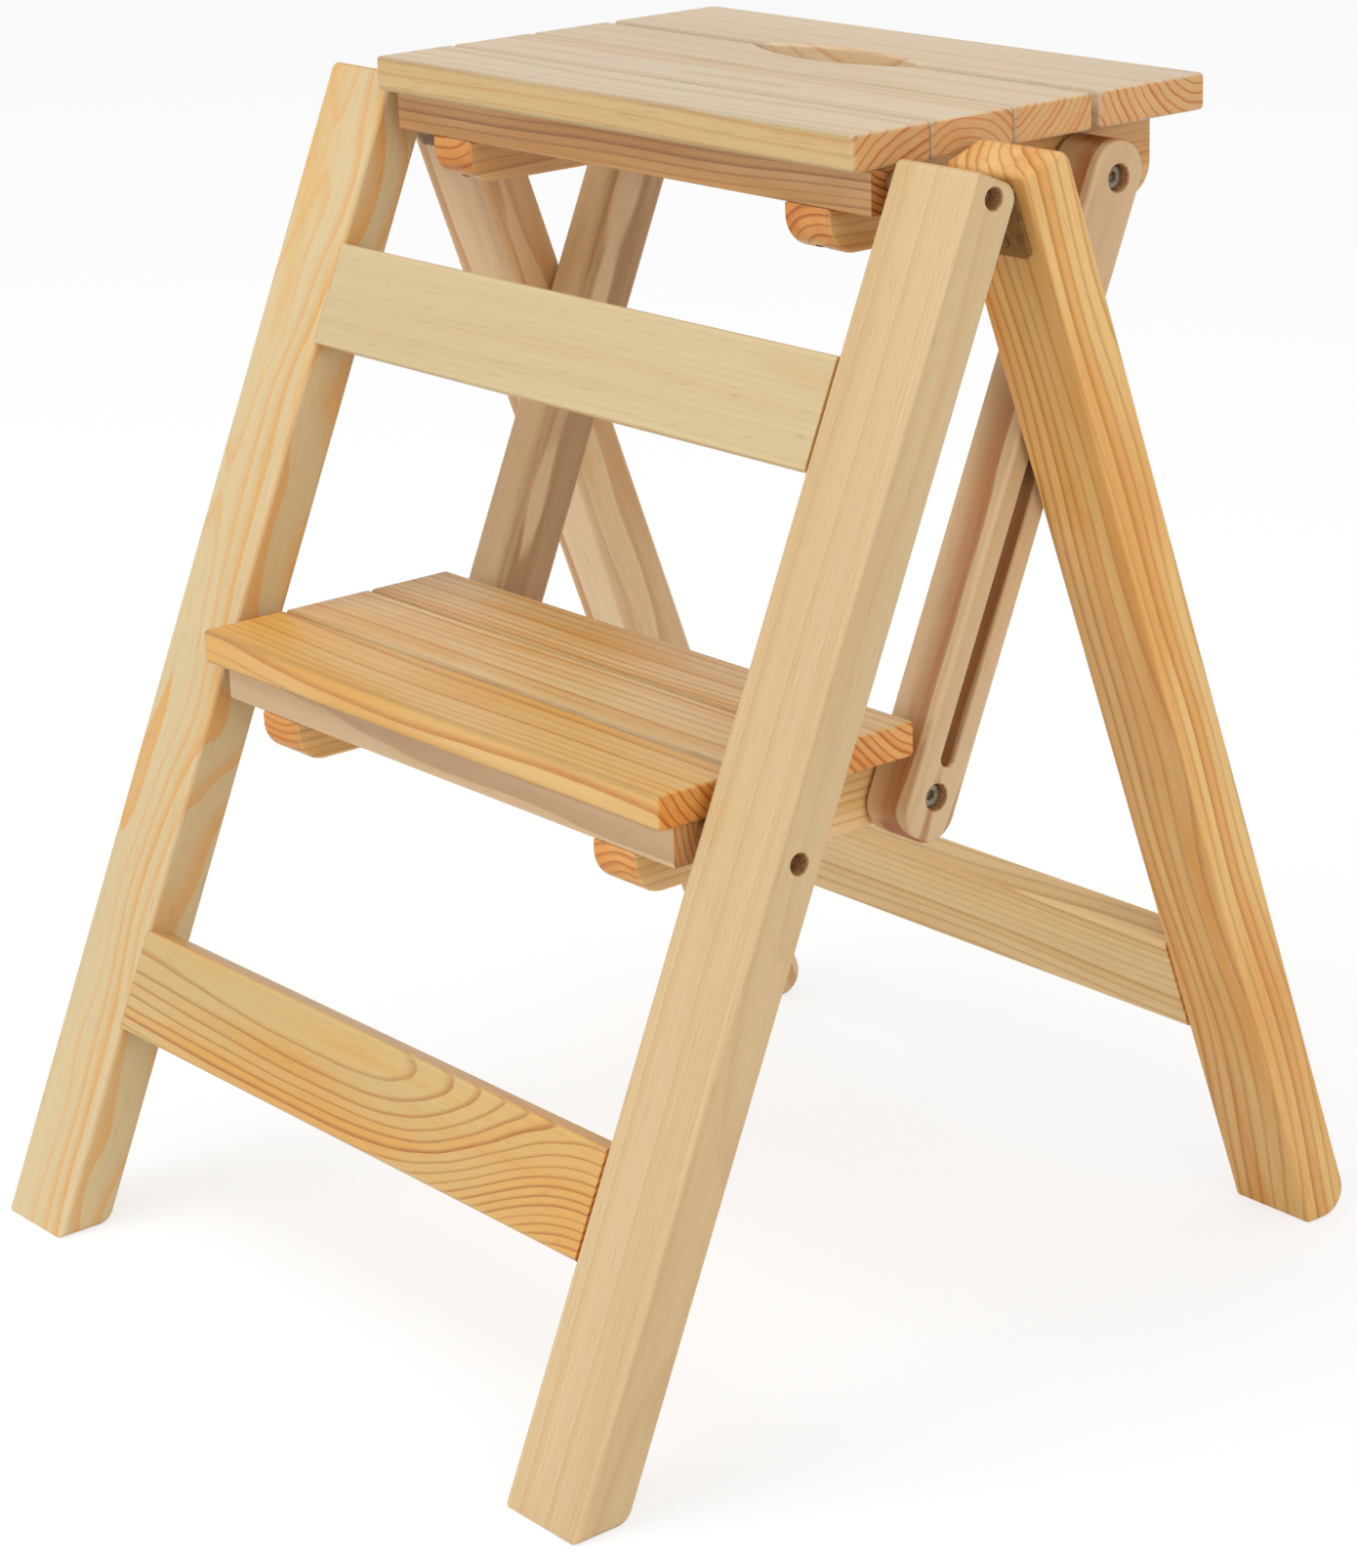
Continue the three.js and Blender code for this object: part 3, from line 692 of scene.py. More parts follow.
SEAT_BOARD = PineFinish(
    "dac5a2", "c58f58", "d9a877", Cut.RIFT, pith=0.045, spacing=0.0042, share=0.42, depth=0.5,
    spread=0.12, band=0.28, waver=0.0022, edge=-0.25,
)
SEAT_BEARER = PineFinish(
    "dab074", "ad6f34", "cc8c42", pith=0.035, spacing=0.0040, share=0.48, depth=0.65, spread=0.3,
    band=0.45, waver=0.006,
)
STEP_BOARD = PineFinish(
    "e2c18a", "c17a30", "dc9f46", Cut.RIFT, pith=0.05, spacing=0.0038, share=0.46, depth=0.9,
    spread=0.24, band=0.5, edge=-0.32,
)
STEP_BEARER = replace(SEAT_BEARER, early="eecb92", late="c08a4a", heart="dca656", depth=0.6)
BOARDS = {
    "front_leg_left": PineFinish(
        "d4bd8e", "db9c48", "d9a450", Cut.FLAT_LEFT, pith=0.024, spacing=0.0082, share=0.55,
        depth=0.8, spread=0.12, band=0.12, waver=0.0105, wave=9.5, seed=3,
    ),
    "front_leg_right": PineFinish(
        "d3b687", "bd9259", "cc9e60", Cut.QUARTER, pith=0.085, spacing=0.0026, share=0.5,
        depth=0.34, spread=0.14, band=0.28, waver=0.003, seed=5,
    ),
    "front_upper_rail": PineFinish(
        "cfb98c", "c2a26c", "c9a86e", Cut.RIFT, pith=0.16, spacing=0.0021, share=0.5, depth=0.25,
        spread=0.1, band=0.2, waver=0.002, seed=8,
    ),
    "front_lower_rail": PineFinish(
        "d0b072", "a96022", "db9a38", Cut.FLAT_LEFT, pith=0.042, spacing=0.0034, share=0.45,
        depth=0.95, spread=0.24, band=0.4, waver=0.0035, knot=(0.022, 0.160, 0.055, 0.036), seed=12,
    ),
    # Its very pale spring wood lightens the front face that the seat shades: painted light.
    "rear_leg_left": PineFinish(
        "efd3a6", "c98f48", "dba763", Cut.QUARTER_TURNED, pith=0.07, spacing=0.0317, share=0.36,
        depth=0.9, spread=0.16, band=0.22, waver=0.0012, end=0.15, seed=14,
    ),
    "rear_leg_right": PineFinish(
        "e6bb74", "b87426", "dc963e", Cut.RIFT, pith=0.045, spacing=0.0046, share=0.5, depth=0.85,
        spread=0.28, band=0.6, waver=0.006, wave=4.5, end=0.15, seed=17,
    ),
    "rear_cross_rail": PineFinish(
        "ebcb92", "b98f52", "d6a85c", Cut.RIFT, pith=0.05, spacing=0.0032, share=0.45, depth=0.7,
        spread=0.2, band=0.35, waver=0.003, seed=20,
    ),
    # The rings put dark summer wood on the inner face: painted shade from the seat above.
    "link_left": PineFinish(
        "d9bc92", "a67a4a", "c69a60", Cut.QUARTER_TURNED, pith=0.0575, spacing=0.0241, share=0.34,
        depth=0.95, spread=0.14, band=0.22, waver=0.0008, seed=23,
    ),
    # Summer wood over most of each ring darkens the link, its front face most: partly its grain, partly
    # painted shade.
    "link_right": PineFinish(
        "dabd92", "ab6c38", "c48a50", Cut.QUARTER_TURNED, pith=0.0570, spacing=0.0225, share=1.15,
        depth=1.4, spread=0.1, band=0.12, waver=0.0006, seed=26,
    ),
    "seat_slat_1": replace(SEAT_BOARD, late="bf7733", cut=Cut.FLAT_RIGHT, pith=0.060, side=0.9, seed=31),
    "seat_slat_2": replace(
        SEAT_BOARD, late="c27c3c", cut=Cut.FLAT_TURNED, pith=0.022, spacing=0.0036, seed=34
    ),
    "seat_slat_3": replace(SEAT_BOARD, cut=Cut.RIFT_TURNED, pith=0.060, spacing=0.0030, depth=0.5, seed=37),
    "seat_slat_4": replace(SEAT_BOARD, late="bd7636", cut=Cut.RIFT, pith=0.036, spacing=0.0038, seed=41),
    # Its darker, browner colours than the other bearers paint the shade that the slats cast on this rail.
    "seat_pivot_rail": replace(
        SEAT_BEARER, early="c79b63", late="85552a", heart="b67c38", spacing=0.0032, depth=0.8,
        band=0.6, seed=43,
    ),
    "seat_bearer_left": replace(SEAT_BEARER, seed=46),
    "seat_bearer_right": replace(SEAT_BEARER, cut=Cut.FLAT_TURNED, seed=49),
    "step_slat_1": replace(
        STEP_BOARD, early="dfb672", heart="dfa038", knot=(0.0, -0.165, 0.055, 0.003), seed=52
    ),
    "step_slat_2": replace(STEP_BOARD, cut=Cut.RIFT_TURNED, spacing=0.0040, seed=55),
    "step_slat_3": replace(STEP_BOARD, seed=58),
    "step_pivot_rail": PineFinish(
        "d6b88f", "a88258", "c0955e", Cut.QUARTER, pith=0.06, spacing=0.0030, share=0.45, depth=0.6,
        spread=0.2, band=0.35, seed=61,
    ),
    "step_bearer_left": replace(STEP_BEARER, seed=64),
    "step_bearer_right": replace(STEP_BEARER, cut=Cut.FLAT_TURNED, seed=67),
}


# Shapes


@dataclass(frozen=True)
class SideView:
    """A side view of the stool, which may lean: points in it are given as behind and along.

    Attributes:
        origin: Where it starts, as (back, up).
        lean: How far its upright leans back.
    """

    origin: Point
    lean: float = 0.0

    def point(self, x: float, behind: float, along: float) -> Vector:
        """The point of the stool's frame at x across, so far behind the origin and along the upright."""
        turned = self.behind * behind + self.along * along
        return Vector((x, self.origin[0], self.origin[1])) + turned

    def place(self, behind: float, along: float, x: float) -> Vector:
        """The same point for a prism, which gives its numbers in this order."""
        return self.point(x, behind, along)

    def inside(self, place: Vector) -> Point:
        """Behind and along of a point of the stool's frame."""
        from_origin = place - Vector((place.x, *self.origin))
        return from_origin.dot(self.behind), from_origin.dot(self.along)

    def floor(self, behind: float) -> float:
        """How far along the floor lies, that far behind."""
        return (behind * math.sin(self.lean) - self.origin[1]) / math.cos(self.lean)

    @property
    def behind(self) -> Vector:
        """The direction behind."""
        return Vector((0.0, math.cos(self.lean), -math.sin(self.lean)))

    @property
    def along(self) -> Vector:
        """The direction along."""
        return Vector((0.0, math.sin(self.lean), math.cos(self.lean)))


UPRIGHT = SideView((0.0, 0.0))


def rectangle(low: Point, high: Point, radius: float = 0.0) -> list[Corner]:
    """The corners of an upright rectangle, counterclockwise and each with the same radius."""
    return [(x, y, radius) for x, y in (low, (high[0], low[1]), high, (low[0], high[1]))]


def rounded(corners: Sequence[Corner], steps: int = 8) -> list[Point]:
    """An outline through the corners with round corners.

    Args:
        corners: Each corner as (across, up, radius), counterclockwise.
        steps: How many edges a round corner gets.

    Returns:
        The points of the outline.
    """
    points: list[Point] = []
    count = len(corners)
    for i, (across, up, radius) in enumerate(corners):
        here = Vector((across, up))
        if radius == 0.0:
            points.append((across, up))
            continue
        before = (Vector(corners[i - 1][:2]) - here).normalized()
        after = (Vector(corners[(i + 1) % count][:2]) - here).normalized()
        half = before.angle(after) / 2
        centre = here + (before + after).normalized() * (radius / math.sin(half))
        start = here + before * (radius / math.tan(half)) - centre
        end = here + after * (radius / math.tan(half)) - centre
        swing = start.angle_signed(end)
        for k in range(steps + 1):
            turned = Matrix.Rotation(-swing * k / steps, 2) @ start
            points.append(tuple(centre + turned))
    return points


def round_ended(radius: float, low: float, high: float, steps: int = 28) -> list[Point]:
    """An upright outline with half-round ends.

    Args:
        radius: Half its width.
        low: Height of the lower end's centre.
        high: Height of the upper end's centre.
        steps: How many edges an end gets.

    Returns:
        The points of the outline.
    """
    shares = [math.pi * k / steps for k in range(steps + 1)]
    turns = [(height, start + share) for height, start in ((high, 0.0), (low, math.pi)) for share in shares]
    return [(radius * math.cos(turn), height + radius * math.sin(turn)) for height, turn in turns]


def prism(outline: Sequence[Point], place: Placer, low: float, high: float) -> Shape:
    """A sharp prism with its rims marked for easing.

    Args:
        outline: The points of the outline.
        place: Puts (across, up, deep) in the stool's frame.
        low: Depth of one end.
        high: Depth of the other end.

    Returns:
        The prism. Its rims have the full bevel weight and its other sharp edges a small one.
    """
    bm = bmesh.new()
    weight = bm.edges.layers.float.new("bevel_weight_edge")
    ends = [[bm.verts.new(place(u, v, w)) for u, v in outline] for w in (low, high)]
    caps = [bm.faces.new(ends[0][::-1]), bm.faces.new(ends[1])]
    count = len(outline)
    for i in range(count):
        j = (i + 1) % count
        bm.faces.new((ends[0][i], ends[0][j], ends[1][j], ends[1][i]))
    bmesh.ops.recalc_face_normals(bm, faces=bm.faces)
    for cap in caps:
        for edge in cap.edges:
            edge[weight] = 1.0
    for edge in bm.edges:
        if edge[weight] == 0.0 and edge.calc_face_angle_signed() > SHARP_ANGLE:
            edge[weight] = LONG_EDGE_WEIGHT
    return bm


def turned(
    profile: Sequence[Point],
    centre: Vector = ORIGIN,
    axis: Vector = UP,
    steps: int = 40,
    loop: bool = False,
) -> Shape:
    """A turned solid, or one with as many flats as it has steps.

    Args:
        profile: Points as (along, radius) in order. An end that is off the axis gets a flat cap.
        centre: Where along is 0.
        axis: The direction of the axis.
        steps: How many faces go round.
        loop: Whether the profile closes on itself, as a ring's does.

    Returns:
        The solid.
    """
    bm = bmesh.new()
    turn = axis.to_track_quat("Z", "Y")
    if not loop:
        first, last = ([(along, 0.0)] if radius else [] for along, radius in (profile[0], profile[-1]))
        profile = [*first, *profile, *last]
    angles = [math.tau * (k + 0.5) / steps for k in range(steps)]
    rows = []
    for along, radius in profile:
        around = angles if radius else angles[:1]
        points = (Vector((radius * math.cos(a), radius * math.sin(a), along)) for a in around)
        rows.append([bm.verts.new(centre + turn @ point) for point in points])
    for near, far in zip(rows, rows[1:] + rows[:1] if loop else rows[1:]):
        for k in range(steps):
            corners = [row[j % len(row)] for row, j in ((near, k), (near, k + 1), (far, k + 1), (far, k))]
            bm.faces.new(list(dict.fromkeys(corners)))
    bmesh.ops.recalc_face_normals(bm, faces=bm.faces)
    return bm


def chamfered(low: float, high: float, radius: float, chamfer: float) -> list[Point]:
    """A profile for turning a pin between two ends with chamfered rims."""
    rim = radius - chamfer
    return [(low, rim), (low + chamfer, radius), (high - chamfer, radius), (high, rim)]


def bore(
    radius: float, centre: Vector, axis: Vector, bottom: float, mouth: float, ease: float = 0.0005
) -> Shape:
    """A cutter for a round hole with an eased mouth.

    Args:
        radius: The hole's radius.
        centre: A point on its axis, where along is 0.
        axis: Its direction, out of the wood.
        bottom: Where it ends in the wood.
        mouth: Where it leaves the wood.
        ease: How wide the mouth is eased.

    Returns:
        The cutter.
    """
    flare = (mouth + OVERRUN, radius + ease + OVERRUN)
    bm = turned([(bottom, radius), (mouth - ease, radius), flare], centre, axis)
    for face in bm.faces:
        face.material_index = BORED
    return bm


class Workpiece:
    """A solid on the bench: drawn sharp, then eased, cut, joined and smoothed."""

    def __init__(self, name: str, shape: Shape, slots: int = 0) -> None:
        """Puts a shape on the bench.

        Args:
            name: The finished piece's name.
            shape: The shape, which is used up.
            slots: How many materials its faces choose from.
        """
        mesh = bpy.data.meshes.new(name)
        shape.to_mesh(mesh)
        shape.free()
        for _ in range(slots):
            mesh.materials.append(None)
        self.obj = bpy.data.objects.new(name, mesh)
        bpy.context.scene.collection.objects.link(self.obj)

    def discard(self) -> None:
        """Takes the solid off the bench for good."""
        mesh = self.obj.data
        bpy.data.objects.remove(self.obj)
        bpy.data.meshes.remove(mesh)

    def settle(self) -> "Workpiece":
        """Turns the modifiers into mesh.

        Returns:
            This workpiece.
        """
        graph = bpy.context.evaluated_depsgraph_get()
        mesh = bpy.data.meshes.new_from_object(
            self.obj.evaluated_get(graph), preserve_all_data_layers=True, depsgraph=graph
        )
        self.obj.modifiers.clear()
        old, self.obj.data = self.obj.data, mesh
        mesh.name = self.obj.name
        bpy.data.meshes.remove(old)
        return self

    def ease(self, radius: float, steps: int = 5, weighted: bool = True) -> "Workpiece":
        """Rounds over the rims.

        Args:
            radius: How far the rounding reaches.
            steps: How many edges it gets.
            weighted: Whether the bevel weights say which edges, or else their angle does.

        Returns:
            This workpiece.
        """
        bevel = self.obj.modifiers.new("ease", "BEVEL")
        bevel.width, bevel.segments = radius, steps
        bevel.limit_method = "WEIGHT" if weighted else "ANGLE"
        bevel.angle_limit = SHARP_ANGLE
        bevel.use_clamp_overlap = False
        return self.settle()

    def combine(self, operation: str, tool: Shape) -> "Workpiece":
        """Cuts with a tool, or joins it.

        Args:
            operation: DIFFERENCE, UNION or INTERSECT.
            tool: The tool, which is used up.

        Returns:
            This workpiece.
        """
        other = Workpiece(self.obj.name + "_tool", tool, len(self.obj.data.materials))
        boolean = self.obj.modifiers.new("combine", "BOOLEAN")
        boolean.operation, boolean.solver, boolean.object = operation, "EXACT", other.obj
        self.settle()
        other.discard()
        return self

    def cut(self, *tools: Shape) -> "Workpiece":
        """Cuts with each tool in turn.

        Args:
            *tools: The cutters.

        Returns:
            This workpiece.
        """
        for tool in tools:
            self.combine("DIFFERENCE", tool)
        return self

    def smooth(self, angle: float = 38.0) -> "Workpiece":
        """Shades round faces smoothly and keeps flat faces flat.

        Args:
            angle: Degrees past which an edge stays sharp.

        Returns:
            This workpiece.
        """
        self.obj.data.shade_smooth()
        self.obj.data.set_sharp_from_angle(angle=math.radians(angle))
        weighted = self.obj.modifiers.new("flats", "WEIGHTED_NORMAL")
        weighted.keep_sharp = True
        return self.settle()

    def hand_over(
        self, body: str, slot: str, materials: Sequence[Material], nodes: Sequence[str] = ()
    ) -> None:
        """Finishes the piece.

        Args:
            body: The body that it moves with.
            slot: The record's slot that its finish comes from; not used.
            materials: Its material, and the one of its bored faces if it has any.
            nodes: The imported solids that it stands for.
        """
        mesh = self.obj.data
        chosen = [min(face.material_index, len(materials) - 1) for face in mesh.polygons]
        mesh.materials.clear()
        for material in materials:
            mesh.materials.append(material)
        mesh.polygons.foreach_set("material_index", chosen)
        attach(self.obj, body)
        if nodes:
            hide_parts(*nodes)
        LOG.info("%s rides on %s: %d faces", self.obj.name, body, len(mesh.polygons))


# Geometry Nodes


def slat_tree() -> Tree:
    """A slat's tree: its plan outline with four round corners, raised, with the hand slot's bite.

    Returns:
        The tree.
    """
    tree = new_group(
        "slat",
        "GeometryNodeTree",
        {
            "Geometry": "Geometry",
            "Half Length": 0.15,
            "Front": 0.0,
            "Back": 0.05,
            "Bottom": 0.0,
            "Thickness": 0.0145,
            "Front Corner": 0.002,
            "Rear Corner": 0.002,
            "Corner Steps": 8,
            "Has Bite": False,
            "Bite Radius": 0.1,
            "Bite Centre": 0.0,
            "Material": "Material",
        },
        {"Geometry": "Geometry"},
    )
    g = Graph(tree)
    given = g.node("NodeGroupInput").outputs
    length = g.mul(given["Half Length"], 2.0)
    width = g.sub(given["Back"], given["Front"])
    middle = g.mul(g.add(given["Back"], given["Front"]), 0.5)
    outline = g.op("GeometryNodeCurvePrimitiveQuadrilateral", length, width, mode="RECTANGLE")
    behind = g.math("GREATER_THAN", g.split(g.op("GeometryNodeInputPosition"))["Y"], 0.0)
    step = g.sub(given["Rear Corner"], given["Front Corner"])
    corner = g.add(given["Front Corner"], g.mul(behind, step))
    values = {"Curve": outline, "Count": given["Corner Steps"], "Radius": corner}
    fillet = g.named("GeometryNodeFilletCurve", values, mode="POLY")
    plan = g.op("GeometryNodeFillCurve", fillet.outputs[0], mode="NGONS")
    values = {"Mesh": plan, "Offset Scale": given["Thickness"], "Individual": False}
    raised = g.named("GeometryNodeExtrudeMesh", values, mode="FACES")
    joined = g.node("GeometryNodeJoinGeometry")
    g.feed(joined.inputs[0], raised.outputs["Mesh"])
    g.feed(joined.inputs[0], g.op("GeometryNodeFlipFaces", plan))
    values = {"Geometry": joined.outputs[0], "Distance": MERGE_DISTANCE}
    closed = g.named("GeometryNodeMergeByDistance", values)
    shift = g.op("ShaderNodeCombineXYZ", 0.0, middle, given["Bottom"])
    board = g.named("GeometryNodeTransform", {"Geometry": closed.outputs[0], "Translation": shift})
    values = {"Vertices": BITE_STEPS, "Radius": given["Bite Radius"], "Depth": BITE_HEIGHT}
    cutter = g.named("GeometryNodeMeshCylinder", values, fill_type="NGON")
    shift = g.op("ShaderNodeCombineXYZ", 0.0, given["Bite Centre"], given["Bottom"])
    moved = g.named("GeometryNodeTransform", {"Geometry": cutter.outputs["Mesh"], "Translation": shift})
    values = {"Mesh 1": board.outputs[0], "Mesh 2": moved.outputs[0]}
    bitten = g.named("GeometryNodeMeshBoolean", values, operation="DIFFERENCE", solver="EXACT")
    ways = (board.outputs[0], bitten.outputs["Mesh"])
    g.hand_out(g.op("GeometryNodeSwitch", given["Has Bite"], *ways, input_type="GEOMETRY"), given["Material"])
    return tree


def fastener_tree() -> Tree:
    """The fasteners' tree: one pattern on each point, facing out of the wood, each turned by chance.

    Returns:
        The tree.
    """
    inputs = {"Geometry": "Geometry", "Pattern": "Object", "Turn": 0.0, "Seed": FASTENER_SEED}
    inputs["Material"] = "Material"
    tree = new_group("fasteners", "GeometryNodeTree", inputs, {"Geometry": "Geometry"})
    g = Graph(tree)
    given = g.node("NodeGroupInput").outputs
    pattern = g.named("GeometryNodeObjectInfo", {"Object": given["Pattern"]})
    facing = g.named("GeometryNodeInputNamedAttribute", {"Name": "facing"}, data_type="FLOAT_VECTOR")
    upright = g.named("FunctionNodeAlignRotationToVector", {"Vector": facing.outputs["Attribute"]}, axis="Z")
    chance = g.named("FunctionNodeRandomValue", {"Seed": given["Seed"]}, data_type="FLOAT")
    most = next(socket for socket in chance.inputs if socket.identifier == "Max_001")
    g.feed(most, given["Turn"])
    spin = g.op("FunctionNodeAxisAngleToRotation", tuple(UP), chance.outputs[1])
    values = {"Rotation": upright.outputs[0], "Rotate By": spin}
    turned_pattern = g.named("FunctionNodeRotateRotation", values, rotation_space="LOCAL")
    values = {
        "Points": given["Geometry"],
        "Instance": pattern.outputs["Geometry"],
        "Rotation": turned_pattern.outputs[0],
    }
    g.hand_out(g.named("GeometryNodeInstanceOnPoints", values).outputs[0], given["Material"])
    return tree


def run_tree(piece: Workpiece, tree: Tree, values: dict[str, object]) -> Workpiece:
    """Runs a tree on a workpiece and keeps the result as mesh.

    Args:
        piece: The workpiece.
        tree: The tree.
        values: What its named inputs get.

    Returns:
        The workpiece.
    """
    modifier = piece.obj.modifiers.new(tree.name, "NODES")
    modifier.node_group = tree
    sockets = {s.name: s.identifier for s in tree.interface.items_tree if s.in_out == "INPUT"}
    for label, value in values.items():
        modifier[sockets[label]] = value
    return piece.settle()


@dataclass
class Shop:
    """What every maker shares: the trees, the wood's group and the steel materials."""

    slat: Tree = field(default_factory=slat_tree)
    fasteners: Tree = field(default_factory=fastener_tree)
    pine: Tree = field(
        default_factory=lambda: pine_group(ring_group(), fibre_group(), eased_edge_group())
    )
    plating: Tree = field(default_factory=scuff_group)

    def __post_init__(self) -> None:
        """Makes the steel materials and the bored one."""
        self.zinc = [SteelFinish().material("zinc_plated_steel", self.plating)]
        self.dulled = [SteelFinish("a89c88", "8b7d69", 0.75).material("dulled_steel", self.plating)]
        # Dark bronze on the pivot bolts and bushes: a bronze finish that also paints the shade at the legs'
        # tops and in the pivot holes.
        self.bronze_and_shade = [SteelFinish("a88453", "8a683c", 0.4).material("bronzed_steel", self.plating)]
        # The hinges' dark brown is painted shade, so that they read as the shade between the legs' tops.
        self.brown_and_shade = [SteelFinish("94703f", "74562f", 0.25).material("browned_steel", self.plating)]
        self.bored = BoredFinish().material()

    def wood(self, name: str, axes: BoardAxes) -> list[Material]:
        """The materials of one board's planed faces and of its bored faces."""
        return [BOARDS[name].material(name + "_grain", self.pine, axes), self.bored]

    def spread(
        self,
        name: str,
        pattern: Workpiece,
        places: Sequence[Spot],
        materials: Sequence[Material],
        turn: float = 0.0,
    ) -> Workpiece:
        """Puts a pattern at each place.

        Args:
            name: The piece's name.
            pattern: One fastener at the origin that faces up, which is used up.
            places: Where each copy goes, and the direction that it faces.
            materials: Its one material.
            turn: How far a copy may be turned about its own axis.

        Returns:
            All the copies as one workpiece.
        """
        points = bmesh.new()
        facing = points.verts.layers.float_vector.new("facing")
        for place, direction in places:
            points.verts.new(place)[facing] = direction
        piece = Workpiece(name, points)
        values = {"Pattern": pattern.obj, "Turn": turn, "Seed": FASTENER_SEED, "Material": materials[0]}
        run_tree(piece, self.fasteners, values)
        pattern.discard()
        return piece.smooth()


# Fasteners


@dataclass(frozen=True)
class Fasteners:
    """Patterns of the small steel parts, each at the origin with its head up."""

    chamfer: float = 0.0005
    socket_radius: float = 0.0022
    socket_depth: float = 0.0024
    nut_radius: float = 0.0058
    nut_slope: float = 0.7
    pitch: float = 0.0012
    crest: Point = (0.0004, 0.0009)
    root_share: float = 0.78
    tip_share: float = 0.86
    tip_length: float = 4.0
    neck: float = 0.0002
    rim_share: float = 0.96
    crown_share: float = 0.45
    recess: Corner = (1.1, 0.24, 1.0)
    recess_taper: float = 0.45

    def bolt(self, head_radius: float, head_height: float, shank: float) -> Workpiece:
        """A hex-socket bolt whose head stands on the origin.

        Args:
            head_radius: Radius of the head.
            head_height: Height of the head.
            shank: Length of the shank.

        Returns:
            The pattern.
        """
        c = self.chamfer
        profile = [
            (-shank, BOLT_RADIUS - c),
            (c - shank, BOLT_RADIUS),
            (0.0, BOLT_RADIUS),
            (0.0, head_radius),
            (head_height - c, head_radius),
            (head_height - c / 3, head_radius - c / 3),
            (head_height, head_radius - c),
        ]
        flats = self.socket_radius
        socket = [
            (head_height - self.socket_depth, flats),
            (head_height - c, flats),
            (head_height + c, flats + 2 * c),
        ]
        return Workpiece("bolt_pattern", turned(profile)).cut(turned(socket, steps=6))

    def ring(self, radius: float, height: float) -> Workpiece:
        """A washer or a bush that stands on the origin.

        Args:
            radius: Its outer radius.
            height: Its height.

        Returns:
            The pattern.
        """
        c = min(self.chamfer, height / 4)
        wide = BORE_RADIUS + c
        inside = [(height, wide), (height - c, BORE_RADIUS), (c, BORE_RADIUS), (0.0, wide)]
        return Workpiece("ring_pattern", turned(chamfered(0.0, height, radius, c) + inside, loop=True))

    def nut(self, height: float) -> Workpiece:
        """A hex nut that stands on the origin, chamfered on both faces.

        Args:
            height: Its height.

        Returns:
            The pattern.
        """
        r, c, wide = self.nut_radius, self.chamfer, BORE_RADIUS + OVERRUN
        flat = r * math.cos(math.pi / 6)
        rise = (r - flat) * self.nut_slope
        blank = [(0.0, flat), (rise, r), (height - rise, r), (height, flat)]
        hole = [(-OVERRUN, wide), (c, BORE_RADIUS), (height - c, BORE_RADIUS), (height + OVERRUN, wide)]
        piece = Workpiece("nut_pattern", turned([(0.0, r), (height, r)], steps=6))
        return piece.combine("INTERSECT", turned(blank)).cut(turned(hole))

    def screw(
        self, head_radius: float, head_rise: float, radius: float, length: float, dome: float
    ) -> Workpiece:
        """A cross-recessed wood screw, its head's rim on the origin's level.

        Args:
            head_radius: Radius of the head.
            head_rise: Depth of the countersunk cone, or 0 for a pan head.
            radius: Radius of the shank.
            length: Length below the rim.
            dome: Height of the head above the rim.

        Returns:
            The pattern.
        """
        tip = self.tip_length * radius
        profile = [(-length, 0.0), (-length + tip, radius * self.tip_share)]
        for k in range(int((length - tip - head_rise) / self.pitch)):
            along = -length + tip + self.pitch * k
            profile += [(along + self.crest[0], radius), (along + self.crest[1], radius * self.root_share)]
        rim = (-head_rise, radius) if head_rise else (0.0, head_radius * self.rim_share)
        profile += [(-head_rise - self.neck, radius), rim]
        crown = self.crown_share
        for angle in (math.radians(a) for a in (0, 22, 45, 67, 90)):
            profile.append((dome * math.sin(angle), head_radius * (crown + (1 - crown) * math.cos(angle))))
        piece = Workpiece("screw_pattern", turned(profile, steps=28))
        long, wide, deep = (head_radius * share for share in self.recess)
        for scale in (Vector((long, wide, deep)), Vector((wide, long, deep))):
            slot = bmesh.new()
            bmesh.ops.create_cube(slot, size=1.0)
            for vert in slot.verts:
                taper = self.recess_taper if vert.co.z < 0 else 1.0
                x, y, z = vert.co * scale
                vert.co = (x * taper, y * taper, z + dome)
            piece.cut(slot)
        return piece


# Sub-assemblies


class Layout:
    """Places that the sub-assemblies share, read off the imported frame."""

    def __init__(self) -> None:
        """Reads the places."""
        low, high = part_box("front_leg_right")
        self.leg_in, self.leg_out = low.x, high.x
        rear_low, rear_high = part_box("rear_leg_right")
        self.rear_in, self.rear_out = rear_low.x, rear_high.x
        self.hinge_middle = (self.leg_in + self.rear_out) / 2
        self.front = SideView((low.y, 0.0), FRONT_LEAN)
        hinge = self.middle("hinge_pin_right")
        self.rear = SideView((hinge.y, hinge.z), REAR_LEAN)
        self.hinge_axis = self.front.inside(hinge)
        self.seat_pivot = self.middle("seat_pivot_bolt_right")
        self.step_pivot = self.middle("step_pivot_bolt_right")
        self.link_tops = self.middle("seat_link_bolt_right")
        self.link_feet = self.middle("step_link_bolt_right")
        self.link = SideView((self.link_tops.y, self.link_tops.z), FRONT_LEAN)
        self.guide_pin = self.middle("guide_pin_right")
        self.leg_length = self.front.inside(self.seat_pivot)[1] + LEG_ABOVE_PIVOT

    def middle(self, node: str) -> Vector:
        """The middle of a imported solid's box."""
        low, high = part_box(node)
        return (low + high) / 2


